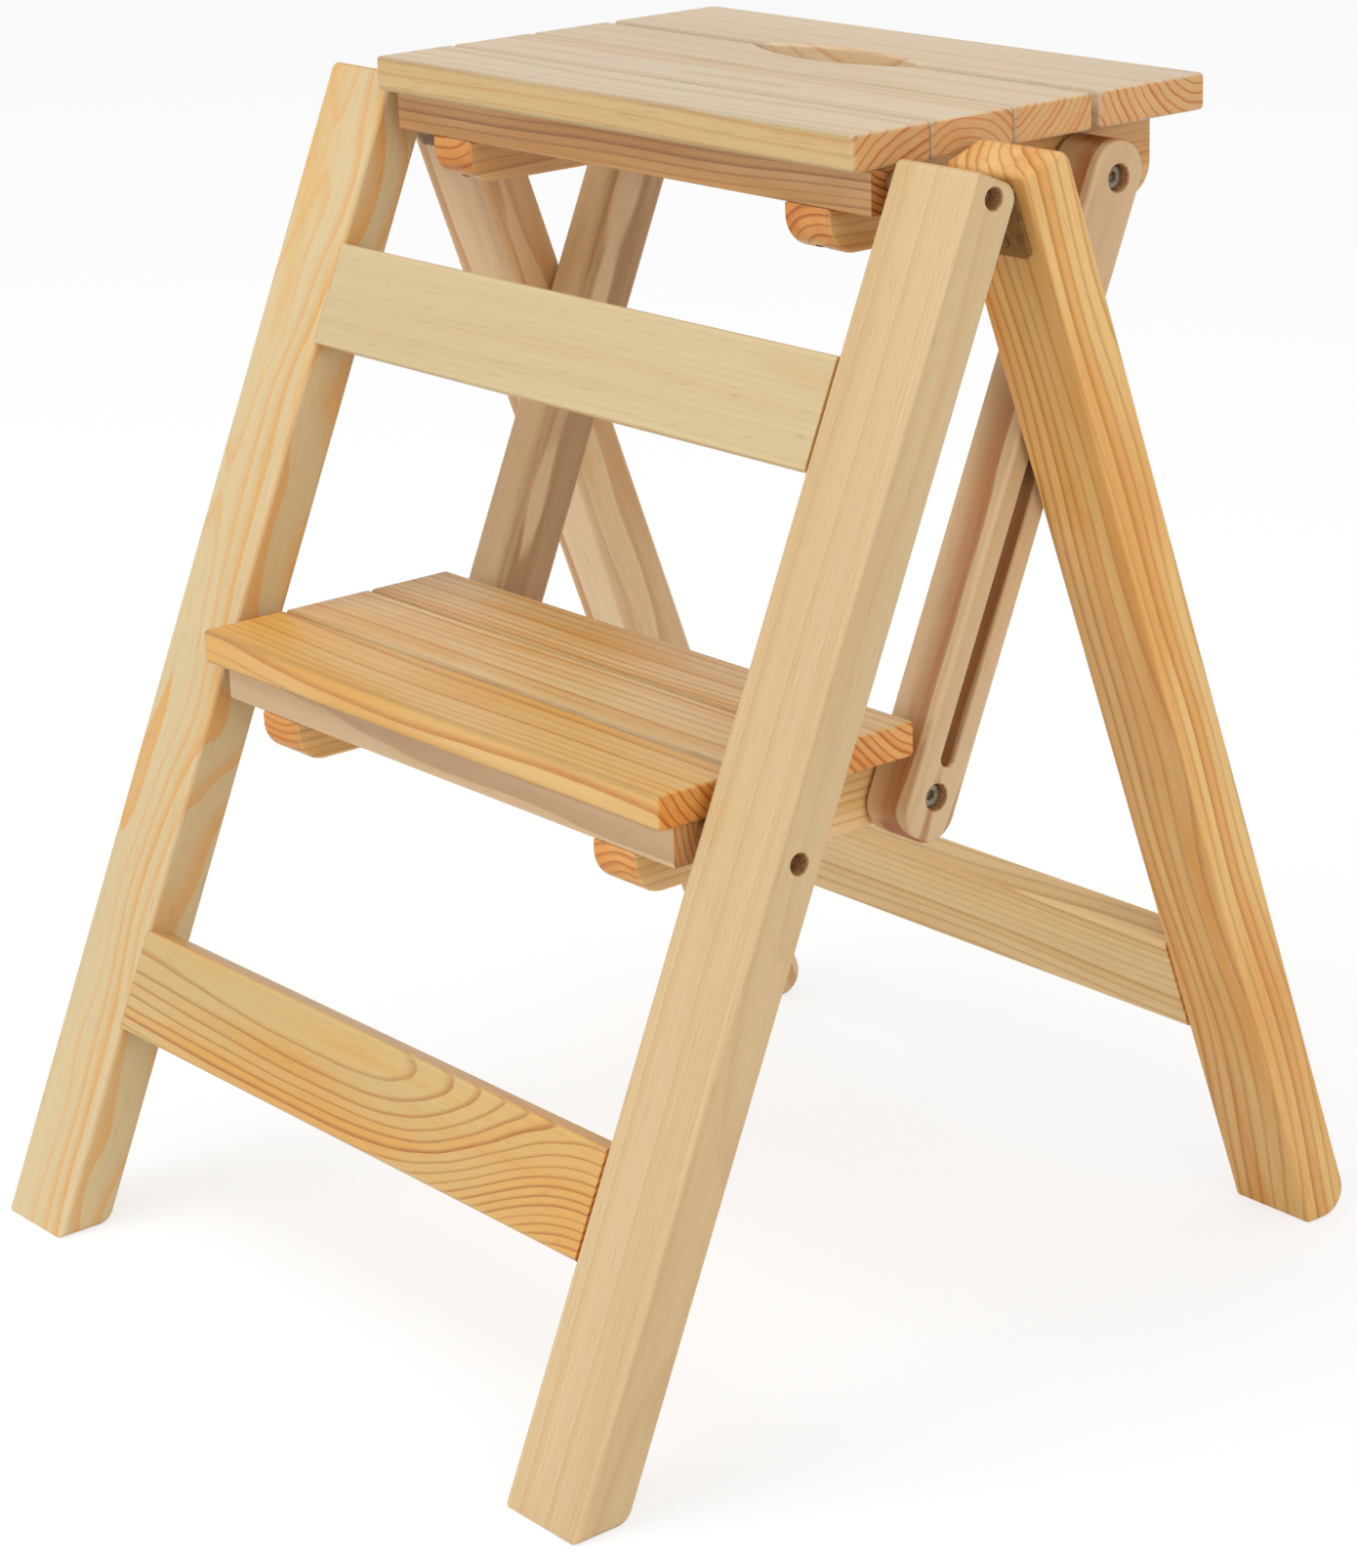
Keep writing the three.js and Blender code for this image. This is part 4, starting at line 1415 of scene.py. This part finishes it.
@dataclass
class Hinge:
    """One frame's half of the two butt hinges: a leaf with its knuckles, and its screws.

    Attributes:
        view: The side view of the frame.
        wood: The face that the leaves lie on, behind the view's origin.
        outwards: 1 where the axis is behind that face, -1 where it is in front.
        axis: The hinges' axis as (behind, along).
        knuckles: The stretches of a leaf's knuckles, as shares of its width.
    """

    view: SideView
    wood: float
    outwards: float
    axis: Point
    knuckles: Sequence[Point]
    width: float = 0.026
    length: float = 0.030
    plate: float = 0.0015
    knuckle: float = 0.003
    pin: float = 0.0014
    screw_shares: Point = (0.357, 0.78)
    screw_radius: float = 0.0015
    head_radius: float = 0.0032
    screw_length: float = 0.014
    corner: float = 0.0035

    def screw_places(self, middle: float) -> list[Spot]:
        """Where the screws of a leaf go, and the direction that they face.

        Args:
            middle: The leaf's middle across the stool.

        Returns:
            Each place with its direction.
        """
        far = self.wood + self.outwards * (FIT_GAP + self.plate)
        heights = (self.axis[1] - share * self.length for share in self.screw_shares)
        return [(self.view.point(middle, far, along), self.view.behind * self.outwards) for along in heights]

    def leaf(self, name: str, middle: float) -> Workpiece:
        """One leaf with its knuckles and countersunk holes.

        Args:
            name: The piece's name.
            middle: The leaf's middle across the stool.

        Returns:
            The leaf.
        """
        view, top, r = self.view, self.axis[1], self.corner
        near = self.wood + self.outwards * FIT_GAP
        faces = sorted((near, near + self.outwards * self.plate))
        low, high = top - self.length, top - self.knuckle - FIT_GAP
        left, right = middle - self.width / 2, middle + self.width / 2
        corners = [(left, low, r), (right, low, r), (right, high, 0.0), (left, high, 0.0)]
        piece = Workpiece(name, prism(rounded(corners), lambda u, v, w: view.point(u, w, v), *faces))
        web = rounded(rectangle((faces[0], high - OVERRUN), (faces[1], top)))
        for share in self.knuckles:
            start, end = (left + s * self.width for s in share)
            piece.combine("UNION", prism(web, view.place, start, end))
            barrel = [(0.0, self.knuckle), (end - start, self.knuckle)]
            piece.combine("UNION", turned(barrel, view.point(start, *self.axis), X_AXIS))
        hole, sunk = self.screw_radius + FIT_GAP, self.head_radius + FIT_GAP
        eye = [(-OVERRUN, self.pin + FIT_GAP), (self.width + OVERRUN, self.pin + FIT_GAP)]
        piece.cut(turned(eye, view.point(left, *self.axis), X_AXIS))
        sink = [(-self.plate - OVERRUN, hole), (-self.plate, hole), (0.0, sunk), (OVERRUN, sunk)]
        for place, out in self.screw_places(middle):
            piece.cut(turned(sink, place, out))
        return piece.smooth()


@dataclass
class Frame:
    """What the front and the rear frame share: legs, rails with tenons, and halves of the hinges.

    A frame sets its side view, its legs' inner and outer faces, and its hinge.
    """

    shop: Shop
    layout: Layout
    half: str = ""
    leg_slot: str = ""
    rail_slot: str = ""
    front: float = 0.0
    rail_width: float = 0.0445
    rail_thickness: float = 0.016
    rail_round: float = 0.0016
    tenon: Corner = (0.009, 0.030, 0.020)
    leg_round: float = 0.0026

    def rail_middle(self, bottom: float) -> Point:
        """Middle of a rail's section, as (behind, along)."""
        return self.front + self.rail_thickness / 2, bottom + self.rail_width / 2

    def tenons(self, bottom: float, low: float, high: float, gap: float = 0.0) -> Shape:
        """A rail's tenons in one block, or the mortise of one when there is a gap.

        Args:
            bottom: The rail's lower edge, along the view.
            low: One end across the stool.
            high: The other end.
            gap: How much larger it is on each side.

        Returns:
            The block.
        """
        behind, along = self.rail_middle(bottom)
        deep, wide = self.tenon[0] / 2 + gap, self.tenon[1] / 2 + gap
        corners = rectangle((behind - deep, along - wide), (behind + deep, along + wide))
        return prism(rounded(corners), self.view.place, low, high)

    def mortise(self, bottom: float, sign: float) -> Shape:
        """The cut in one leg for a rail's tenon.

        Args:
            bottom: The rail's lower edge, along the view.
            sign: -1 on the left and 1 on the right.

        Returns:
            The cutter.
        """
        inner = self.span[0]
        ends = sorted((sign * (inner - OVERRUN), sign * (inner + self.tenon[2] + FIT_GAP)))
        return self.tenons(bottom, *ends, FIT_GAP)

    def finish(
        self, piece: Workpiece, node: str, slot: str, middle: Vector, sizes: Point, grain: Vector
    ) -> None:
        """Dresses a leg or a rail.

        Args:
            piece: The piece.
            node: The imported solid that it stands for.
            slot: The record's slot that its finish comes from.
            middle: Its middle.
            sizes: Its width and its thickness.
            grain: The direction of its grain.
        """
        behind = self.view.behind
        axes = BoardAxes(middle, (sizes[0] / 2, sizes[1] / 2), behind.cross(grain), behind, grain)
        piece.hand_over(f"{self.half}_frame", slot, self.shop.wood(node, axes), [node])

    def leg(
        self,
        side: str,
        sign: float,
        outline: Sequence[Corner],
        along: float,
        cuts: Sequence[Shape],
    ) -> None:
        """Builds and dresses one leg and its hinge leaf.

        Args:
            side: Its side.
            sign: -1 on the left and 1 on the right.
            outline: Its corners.
            along: Where its middle is, along the view.
            cuts: Its holes and mortises.
        """
        node, leaf = f"{self.half}_leg_{side}", f"hinge_{self.half}_leaf_{side}"
        ends = sorted(sign * x for x in self.span)
        piece = Workpiece(node + "_pine", prism(rounded(outline), self.view.place, *ends), 2)
        piece.ease(self.leg_round).cut(*cuts).smooth()
        middle = self.view.point(sum(ends) / 2, self.front + LEG_THICKNESS / 2, along)
        self.finish(piece, node, self.leg_slot, middle, (LEG_WIDTH, LEG_THICKNESS), self.view.along)
        # The leaf's dark brown finish paints the shade between the legs' tops.
        piece = self.hinge.leaf(leaf + "_steel", sign * self.layout.hinge_middle)
        piece.hand_over(f"{self.half}_frame", "hinge_steel", self.shop.brown_and_shade, [leaf])

    def hinge_screws(self) -> None:
        """Builds and dresses the screws of both hinge leaves."""
        hinge, steel = self.hinge, self.shop.brown_and_shade
        sizes = (hinge.head_radius, hinge.plate, hinge.screw_radius, hinge.screw_length)
        pattern = Fasteners().screw(*sizes, dome=0.0)
        places = [spot for _, sign in SIDES for spot in hinge.screw_places(sign * self.layout.hinge_middle)]
        piece = self.shop.spread(f"hinge_{self.half}_screws_steel", pattern, places, steel, math.pi)
        nodes = [f"hinge_{self.half}_screw_{side}_{n}" for side, _ in SIDES for n in (1, 2)]
        piece.hand_over(f"{self.half}_frame", "hinge_steel", steel, nodes)

    def rail(self, node: str, bottom: float) -> None:
        """Builds and dresses one cross rail with a tenon at each end.

        Args:
            node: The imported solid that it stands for.
            bottom: Its lower edge, along the view.
        """
        inner, reach = self.span[0], self.span[0] + self.tenon[2]
        back_top = (self.front + self.rail_thickness, bottom + self.rail_width)
        outline = rounded(rectangle((self.front, bottom), back_top, self.rail_round), 6)
        piece = Workpiece(node + "_pine", prism(outline, self.view.place, -inner, inner), 2)
        piece.combine("UNION", self.tenons(bottom, -reach, reach)).smooth()
        middle = self.view.point(0.0, *self.rail_middle(bottom))
        sizes = (self.rail_width, self.rail_thickness)
        self.finish(piece, node, self.rail_slot, middle, sizes, X_AXIS)


@dataclass
class FrontFrame(Frame):
    """The front frame: two legs, two rails, and the hinges' front halves with their pins."""

    half: str = "front"
    leg_slot: str = "leg_pine"
    rail_slot: str = "rail_pine"
    foot_round: float = 0.008
    top_back_round: float = 0.007
    top_front_round: float = 0.003
    counterbore_radius: float = 0.0041
    counterbore_depth: float = 0.0105
    upper_below_pivot: float = 0.0685
    lower_height: float = 0.088
    knuckles: tuple[Point, Point] = ((0.0, 0.32), (0.68, 1.0))

    def __post_init__(self) -> None:
        """Takes its side view, its legs' faces and its hinge from the layout."""
        self.view, self.span = self.layout.front, (self.layout.leg_in, self.layout.leg_out)
        self.hinge = Hinge(self.view, LEG_THICKNESS, 1.0, self.layout.hinge_axis, self.knuckles)

    def build(self) -> None:
        """Builds and dresses the front frame."""
        view, lay, t = self.view, self.layout, LEG_THICKNESS
        pivot_along = view.inside(lay.seat_pivot)[1]
        rails = {
            "front_upper_rail": pivot_along - self.upper_below_pivot - self.rail_width,
            "front_lower_rail": self.lower_height / math.cos(FRONT_LEAN),
        }
        outline = [
            (0.0, 0.0, 0.0),
            (t, t * math.tan(FRONT_LEAN), self.foot_round),
            (t, lay.leg_length, self.top_back_round),
            (0.0, lay.leg_length, self.top_front_round),
        ]
        for side, sign in SIDES:
            out, cuts = X_AXIS * sign, []
            for pivot in (lay.seat_pivot, lay.step_pivot):
                centre = Vector((0.0, pivot.y, pivot.z))
                cuts.append(bore(BORE_RADIUS, centre, out, lay.leg_in - OVERRUN, lay.leg_out, 0.0))
                bottom = lay.leg_out - self.counterbore_depth
                cuts.append(bore(self.counterbore_radius, centre, out, bottom, lay.leg_out))
            cuts += [self.mortise(bottom, sign) for bottom in rails.values()]
            self.leg(side, sign, outline, lay.leg_length / 2, cuts)
            node, half, r = f"hinge_pin_{side}", self.hinge.width / 2, self.hinge.pin
            centre = view.point(sign * lay.hinge_middle, *lay.hinge_axis)
            pin = Workpiece(node + "_steel", turned(chamfered(-half, half, r, r / 3), centre, X_AXIS, 24))
            pin.smooth().hand_over("front_frame", "hinge_steel", self.shop.brown_and_shade, [node])
        self.hinge_screws()
        for node, bottom in rails.items():
            self.rail(node, bottom)


@dataclass
class RearFrame(Frame):
    """The rear frame: two legs, one rail, the guide pins, and the hinges' rear halves."""

    half: str = "rear"
    leg_slot: str = "rear_leg_pine"
    rail_slot: str = "rear_rail_pine"
    front: float = 0.004
    top_rise: float = 0.005
    top_back_round: float = 0.006
    top_front_round: float = 0.003
    foot_round: float = 0.011
    rail_height: float = 0.0865
    pin_radius: float = 0.003
    knuckles: tuple[Point] = ((0.34, 0.66),)

    def __post_init__(self) -> None:
        """Takes its side view, its legs' faces and its hinge from the layout."""
        self.view, self.span = self.layout.rear, (self.layout.rear_in, self.layout.rear_out)
        self.hinge = Hinge(self.view, self.front, -1.0, (0.0, 0.0), self.knuckles)

    def build(self) -> None:
        """Builds and dresses the rear frame."""
        view, front, r = self.view, self.front, self.pin_radius
        back = front + LEG_THICKNESS
        rail_height = self.rail_height - front * math.sin(-REAR_LEAN)
        bottom = (rail_height - view.origin[1]) / math.cos(REAR_LEAN)
        pin_place = view.inside(self.layout.guide_pin)
        pin_low, pin_high = (corner.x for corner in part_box("guide_pin_right"))
        outline = [
            (front, view.floor(front), 0.0),
            (back, view.floor(back), self.foot_round),
            (back, self.top_rise, self.top_back_round),
            (front, self.top_rise, self.top_front_round),
        ]
        for side, sign in SIDES:
            centre, bottom_of_hole = view.point(0.0, *pin_place), -pin_high - FIT_GAP
            hole = bore(r + FIT_GAP, centre, -X_AXIS * sign, bottom_of_hole, -self.span[0], FINE_EASE)
            self.leg(side, sign, outline, view.floor(front) / 2, [self.mortise(bottom, sign), hole])
            node, tip = f"guide_pin_{side}", view.point(sign * pin_low, *pin_place)
            profile = chamfered(0.0, pin_high - pin_low, r, r / 4)
            pin = Workpiece(node + "_steel", turned(profile, tip, X_AXIS * sign, 28))
            pin.smooth().hand_over("rear_frame", "hinge_steel", self.shop.dulled, [node])
        self.hinge_screws()
        self.rail("rear_cross_rail", bottom)


@dataclass
class Links:
    """The two side links, which carry the seat and the step and take the guide pins in a groove."""

    shop: Shop
    layout: Layout
    half_width: float = 0.013
    top_extra: float = 0.002
    bottom_extra: float = 0.006
    edge_round: float = 0.002
    counterbore_radius: float = 0.0054
    counterbore_depth: float = 0.0074
    groove_radius: float = 0.0035
    groove_depth: float = 0.008
    groove_above_foot: float = 0.0124
    groove_ease: float = 0.0004

    def build(self) -> None:
        """Builds and dresses the links."""
        view, r, ease = self.layout.link, self.groove_radius, self.groove_ease
        low, high = (corner.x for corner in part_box("link_right"))
        foot, pin = (view.inside(place)[1] for place in (self.layout.link_feet, self.layout.guide_pin))
        outline = round_ended(self.half_width, foot - self.bottom_extra, self.top_extra)
        for side, sign in SIDES:
            name, out = f"link_{side}", X_AXIS * sign
            ends = sorted((sign * low, sign * high))
            piece = Workpiece(name + "_pine", prism(outline, view.place, *ends), 2)
            piece.ease(self.edge_round)
            for radius, depth in ((r, self.groove_depth), (r + ease, ease)):
                groove = round_ended(radius, foot + self.groove_above_foot + r, pin)
                span = sorted((sign * (high - depth), sign * (high + OVERRUN)))
                piece.cut(prism(groove, view.place, *span))
            for along in (0.0, foot):
                centre = view.point(0.0, 0.0, along)
                piece.cut(
                    bore(BORE_RADIUS, centre, out, low - OVERRUN, high, 0.0),
                    bore(self.counterbore_radius, centre, out, high - self.counterbore_depth, high),
                )
            middle = view.point(sign * (low + high) / 2, 0.0, foot / 2)
            half = ((high - low) / 2, self.half_width)
            axes = BoardAxes(middle, half, view.behind.cross(view.along), view.behind, view.along)
            piece.smooth().hand_over(name, "link_pine", self.shop.wood(name, axes), [name])


class Deck(Enum):
    """The two decks of the stool, by the name that their pieces start with."""

    SEAT = "seat"
    STEP = "step"


@dataclass
class DeckMaker:
    """The seat or the step: its slats, pivot rail and bearers, and all their fasteners."""

    shop: Shop
    layout: Layout
    deck: Deck
    slats: int
    rear_corner: float = 0.0022
    slat_corner: float = 0.0022
    slat_round: float = 0.0018
    slot_length: float = 0.106
    slot_width: float = 0.030
    rail_round: float = 0.0012
    rail_ease: float = 0.0006
    bearer_round: float = 0.0016
    bearer_end_round: float = 0.014
    bearer_top_round: float = 0.004
    recess_radius: float = 0.0042
    recess_depth: float = 0.013
    recess_ease: float = 0.0004
    way_radius: float = 0.0023
    pivot_head_height: float = 0.0042
    link_head_height: float = 0.004
    screw_head: float = 0.0037
    screw_radius: float = 0.0019
    screw_dome: float = 0.0024
    screw_reach: float = 0.0085

    def __post_init__(self) -> None:
        """Reads the deck's places off the frame."""
        self.name = self.deck.value
        lay = self.layout
        seat, step = (lay.seat_pivot, lay.link_tops), (lay.step_pivot, lay.link_feet)
        self.pivot, self.link_pivot = seat if self.deck is Deck.SEAT else step
        self.boxes = [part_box(f"{self.name}_slat_{n + 1}") for n in range(self.slats)]
        self.bottom = self.boxes[0][0].z
        self.rail_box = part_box(f"{self.name}_pivot_rail")
        self.bearer_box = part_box(f"{self.name}_bearer_right")

    def build(self) -> None:
        """Builds and dresses the whole deck."""
        self.make_slats()
        self.make_pivot_rail()
        self.make_bearers()
        self.make_fasteners()

    def wood(self, node: str, low: Vector, high: Vector, grain: Vector) -> list[Material]:
        """The materials of a level board.

        Args:
            node: The board's name.
            low: Its box's lowest corner.
            high: Its box's highest corner.
            grain: The direction of its grain.

        Returns:
            The materials.
        """
        wide, half = UP.cross(grain), (high - low) / 2
        sizes = (abs(wide.dot(half)), half.z)
        return self.shop.wood(node, BoardAxes((low + high) / 2, sizes, wide, UP, grain))

    def make_slats(self) -> None:
        """Builds each slat with the slats' tree, then eases its rims."""
        radius = (self.slot_length**2 + self.slot_width**2) / (4 * self.slot_width)
        slot = (self.boxes[-2][1].y + self.boxes[-1][0].y) / 2
        last = len(self.boxes) - 1
        bites = {last - 1: 1.0, last: -1.0} if self.deck is Deck.SEAT else {}
        for n, (low, high) in enumerate(self.boxes):
            name = f"{self.name}_slat_{n + 1}"
            towards = bites.get(n, 0.0)
            wood = self.wood(name, low, high, X_AXIS)
            values = {
                "Half Length": high.x,
                "Front": low.y,
                "Back": high.y,
                "Bottom": low.z,
                "Thickness": high.z - low.z,
                "Front Corner": self.slat_corner,
                "Rear Corner": self.rear_corner if n == last else self.slat_corner,
                "Corner Steps": 8,
                "Has Bite": n in bites,
                "Bite Radius": radius,
                "Bite Centre": slot + towards * (radius - self.slot_width / 2),
                "Material": wood[0],
            }
            piece = run_tree(Workpiece(name + "_pine", bmesh.new()), self.shop.slat, values)
            piece.ease(self.slat_round, weighted=False).smooth()
            piece.hand_over(self.name, f"{self.name}_pine", wood[:1], [name])

    def screw_places(self) -> Iterator[Point]:
        """Where the slat screws stand, across and back.

        Yields:
            Each place.
        """
        low, high = self.bearer_box
        for _, sign in SIDES:
            for slat_low, slat_high in self.boxes:
                yield sign * (low.x + high.x) / 2, (slat_low.y + slat_high.y) / 2

    def make_pivot_rail(self) -> None:
        """Builds the rail that the pivot bolts hold."""
        low, high = self.rail_box
        name = f"{self.name}_pivot_rail"
        outline = rounded(rectangle((low.y, low.z), (high.y, high.z), self.rail_round), 6)
        piece = Workpiece(name + "_pine", prism(outline, UPRIGHT.place, low.x, high.x), 2)
        piece.ease(self.rail_ease, 2)
        bolt_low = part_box(f"{self.name}_pivot_bolt_right")[0].x
        for _, sign in SIDES:
            centre = Vector((0.0, self.pivot.y, self.pivot.z))
            piece.cut(bore(BORE_RADIUS, centre, X_AXIS * sign, bolt_low - FIT_GAP, high.x, FINE_EASE))
        for x, y in self.screw_places():
            if low.y < y < high.y:
                piece.cut(bore(self.way_radius, Vector((x, y, 0.0)), UP, low.z - OVERRUN, high.z, 0.0))
        wood = self.wood(name, low, high, X_AXIS)
        piece.smooth().hand_over(self.name, "bearer_pine", wood, [name])

    def make_bearers(self) -> None:
        """Builds the two bearers under the slats."""
        low, high = self.bearer_box
        rail_low, rail_high = self.rail_box
        corners = [
            (low.y, low.z, self.bearer_end_round),
            (high.y, low.z, self.bearer_end_round),
            (high.y, high.z, self.bearer_top_round),
            (rail_high.y, high.z, 0.0),
            (rail_high.y, rail_low.z, 0.0),
            (low.y, rail_low.z, 0.0),
        ]
        outline = rounded(corners, 12)
        for side, sign in SIDES:
            name = f"{self.name}_bearer_{side}"
            ends = sorted((sign * low.x, sign * high.x))
            piece = Workpiece(name + "_pine", prism(outline, UPRIGHT.place, *ends), 2)
            piece.ease(self.bearer_round)
            centre = Vector((0.0, self.link_pivot.y, self.link_pivot.z))
            piece.cut(bore(BORE_RADIUS, centre, X_AXIS * sign, low.x - OVERRUN, high.x, FINE_EASE))
            for x, y in self.screw_places():
                if x * sign > 0.0:
                    screw = Vector((x, y, 0.0))
                    piece.cut(bore(self.way_radius, screw, DOWN, -high.z - OVERRUN, -low.z, 0.0))
                    bottom = -low.z - self.recess_depth
                    piece.cut(bore(self.recess_radius, screw, DOWN, bottom, -low.z, self.recess_ease))
            wood = self.wood(name, *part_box(name), Y_AXIS)
            piece.smooth().hand_over(self.name, "bearer_pine", wood, [name])

    def spread(
        self,
        kind: str,
        pattern: Workpiece,
        places: Sequence[Spot],
        steel: Sequence[Material],
        turn: float = 0.0,
        stands_for: bool = True,
    ) -> None:
        """Puts one kind of fastener on the deck.

        Args:
            kind: What the fasteners are.
            pattern: One of them.
            places: Where they go.
            steel: Their material.
            turn: How far each may be turned.
            stands_for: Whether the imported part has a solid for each.
        """
        plural = kind + ("es" if kind.endswith("sh") else "s")
        piece = self.shop.spread(f"{self.name}_{plural}_steel", pattern, places, steel, turn)
        nodes = [f"{self.name}_{kind}_{side}" for side, _ in SIDES] if stands_for else []
        piece.hand_over(self.name, "bolt_steel", steel, nodes)

    def solid(self, kind: str) -> tuple[float, float, float]:
        """Inner end, outer end and radius of a packed fastener of the right side."""
        low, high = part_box(f"{self.name}_{kind}_right")
        return low.x, high.x, (high.y - low.y) / 2

    def make_fasteners(self) -> None:
        """Builds the pivot bolts and bushes, the link bolts, washers and nuts, and the slat screws."""
        tools, shop = Fasteners(), self.shop
        side_places = lambda x, pivot: [(Vector((s * x, pivot.y, pivot.z)), X_AXIS * s) for _, s in SIDES]
        # The pivot bolts' and bushes' dark bronze also paints the shade at the legs' tops.
        bolts = (
            ("pivot_bolt", self.pivot, self.pivot_head_height, shop.bronze_and_shade),
            ("link_bolt", self.link_pivot, self.link_head_height, shop.dulled),
        )
        for kind, pivot, height, steel in bolts:
            tip, top, radius = self.solid(kind)
            bolt = tools.bolt(radius, height, top - height - tip)
            self.spread(kind, bolt, side_places(top - height, pivot), steel, math.pi / 3)
        rings = (("pivot_bush", self.pivot, shop.bronze_and_shade), ("link_washer", self.link_pivot, shop.zinc))
        for kind, pivot, steel in rings:
            inner, outer, radius = self.solid(kind)
            self.spread(kind, tools.ring(radius, outer - inner), side_places(inner, pivot), steel)
        inner, outer, _ = self.solid("link_nut")
        nut = tools.nut(outer - inner)
        self.spread("link_nut", nut, side_places(inner, self.link_pivot), shop.zinc, math.pi / 3)
        heads = self.bearer_box[0].z + self.recess_depth
        length = self.bottom + self.screw_reach - heads
        screw = tools.screw(self.screw_head, 0.0, self.screw_radius, length, self.screw_dome)
        places = [(Vector((x, y, heads)), DOWN) for x, y in self.screw_places()]
        self.spread("slat_screw", screw, places, shop.zinc, math.pi, stands_for=False)


# Studio


@dataclass(frozen=True)
class Studio:
    """The camera, the soft lights and the pale floor."""

    eye: tuple[float, float, float] = (1.259885, -1.001319, 0.743618)
    right: tuple[float, float, float] = (0.635210, 0.771670, -0.032157)
    up: tuple[float, float, float] = (-0.229455, 0.228307, 0.946164)
    lens: float = 92.905
    sensor: float = 36.0
    clip: Point = (0.05, 60.0)
    sky: float = 0.67
    aim: float = 0.25
    floor_half: float = 20.0
    floor_drop: float = 0.0002
    floor_tone: float = 0.86
    floor_glow: float = 1.14
    floor_glow_share: float = 0.62
    lamps: tuple[tuple[str, Corner, float, float], ...] = (
        ("key", (-0.7, -1.5, 3.0), 2.0, 33.0),
        ("fill", (2.8, -0.6, 1.6), 2.0, 22.0),
        ("front", (-0.6, -2.9, 0.7), 1.8, 14.0),
    )

    def camera(self) -> None:
        """Makes the camera at the photograph's viewing angle."""
        data = bpy.data.cameras.new("camera")
        data.lens, data.sensor_width, data.sensor_fit = self.lens, self.sensor, "AUTO"
        data.clip_start, data.clip_end = self.clip
        obj = bpy.data.objects.new("camera", data)
        right = Vector(self.right).normalized()
        back = right.cross(Vector(self.up)).normalized()
        turn = Matrix((right, back.cross(right), back)).transposed().to_4x4()
        obj.matrix_world = Matrix.Translation(self.eye) @ turn
        bpy.context.scene.collection.objects.link(obj)
        bpy.context.scene.camera = obj

    def sky_light(self) -> None:
        """Lights the room evenly, with white behind the stool."""
        world = bpy.data.worlds.new("studio")
        world.use_nodes = True
        g = Graph(world.node_tree)
        path = g.node("ShaderNodeLightPath").outputs
        plain = g.op("ShaderNodeBackground", WHITE, self.sky)
        white = g.op("ShaderNodeBackground", WHITE, 1.0)
        mixed = g.op("ShaderNodeMixShader", path["Is Camera Ray"], plain, white)
        g.named("ShaderNodeOutputWorld", {"Surface": mixed})
        bpy.context.scene.world = world

    def lamp(self, name: str, place: Vector, size: float, power: float) -> None:
        """Adds a soft square lamp that faces the stool.

        Args:
            name: Its name.
            place: Where it hangs.
            size: The length of its side.
            power: Its power in watts.
        """
        data = bpy.data.lights.new(name, "AREA")
        data.size, data.energy = size, power
        obj = bpy.data.objects.new(name, data)
        obj.location = place
        obj.rotation_mode = "QUATERNION"
        obj.rotation_quaternion = (place - UP * self.aim).to_track_quat("Z", "Y")
        bpy.context.scene.collection.objects.link(obj)

    def floor(self) -> None:
        """Lays a pale floor that is near white to the camera and keeps the stool's shadow."""
        shape = bmesh.new()
        bmesh.ops.create_grid(shape, x_segments=1, y_segments=1, size=self.floor_half)
        piece = Workpiece("floor", shape)
        for vert in piece.obj.data.vertices:
            vert.co.z = -self.floor_drop
        made, g = new_material("pale_floor")
        path = g.node("ShaderNodeLightPath").outputs
        tone = (self.floor_tone,) * 3 + (1.0,)
        matt = g.op("ShaderNodeBsdfDiffuse", tone)
        glow = g.op("ShaderNodeEmission", WHITE, self.floor_glow)
        seen = g.op("ShaderNodeMixShader", self.floor_glow_share, matt, glow)
        mixed = g.op("ShaderNodeMixShader", path["Is Camera Ray"], matt, seen)
        g.named("ShaderNodeOutputMaterial", {"Surface": mixed})
        piece.obj.data.materials.append(made)

    def build(self) -> None:
        """Sets up the studio."""
        self.camera()
        self.sky_light()
        for name, place, size, power in self.lamps:
            self.lamp(name, Vector(place), size, power)
        self.floor()
        bpy.context.scene.view_settings.view_transform = "Standard"


def main() -> None:
    """Builds the studio and every sub-assembly."""
    logging.basicConfig(level=logging.INFO, format="%(name)s: %(message)s")
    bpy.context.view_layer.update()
    Studio().build()
    shop, layout = Shop(), Layout()
    FrontFrame(shop, layout).build()
    RearFrame(shop, layout).build()
    Links(shop, layout).build()
    DeckMaker(shop, layout, Deck.SEAT, 4, rear_corner=0.003).build()
    DeckMaker(shop, layout, Deck.STEP, 3).build()


if __name__ == "__main__":
    main()
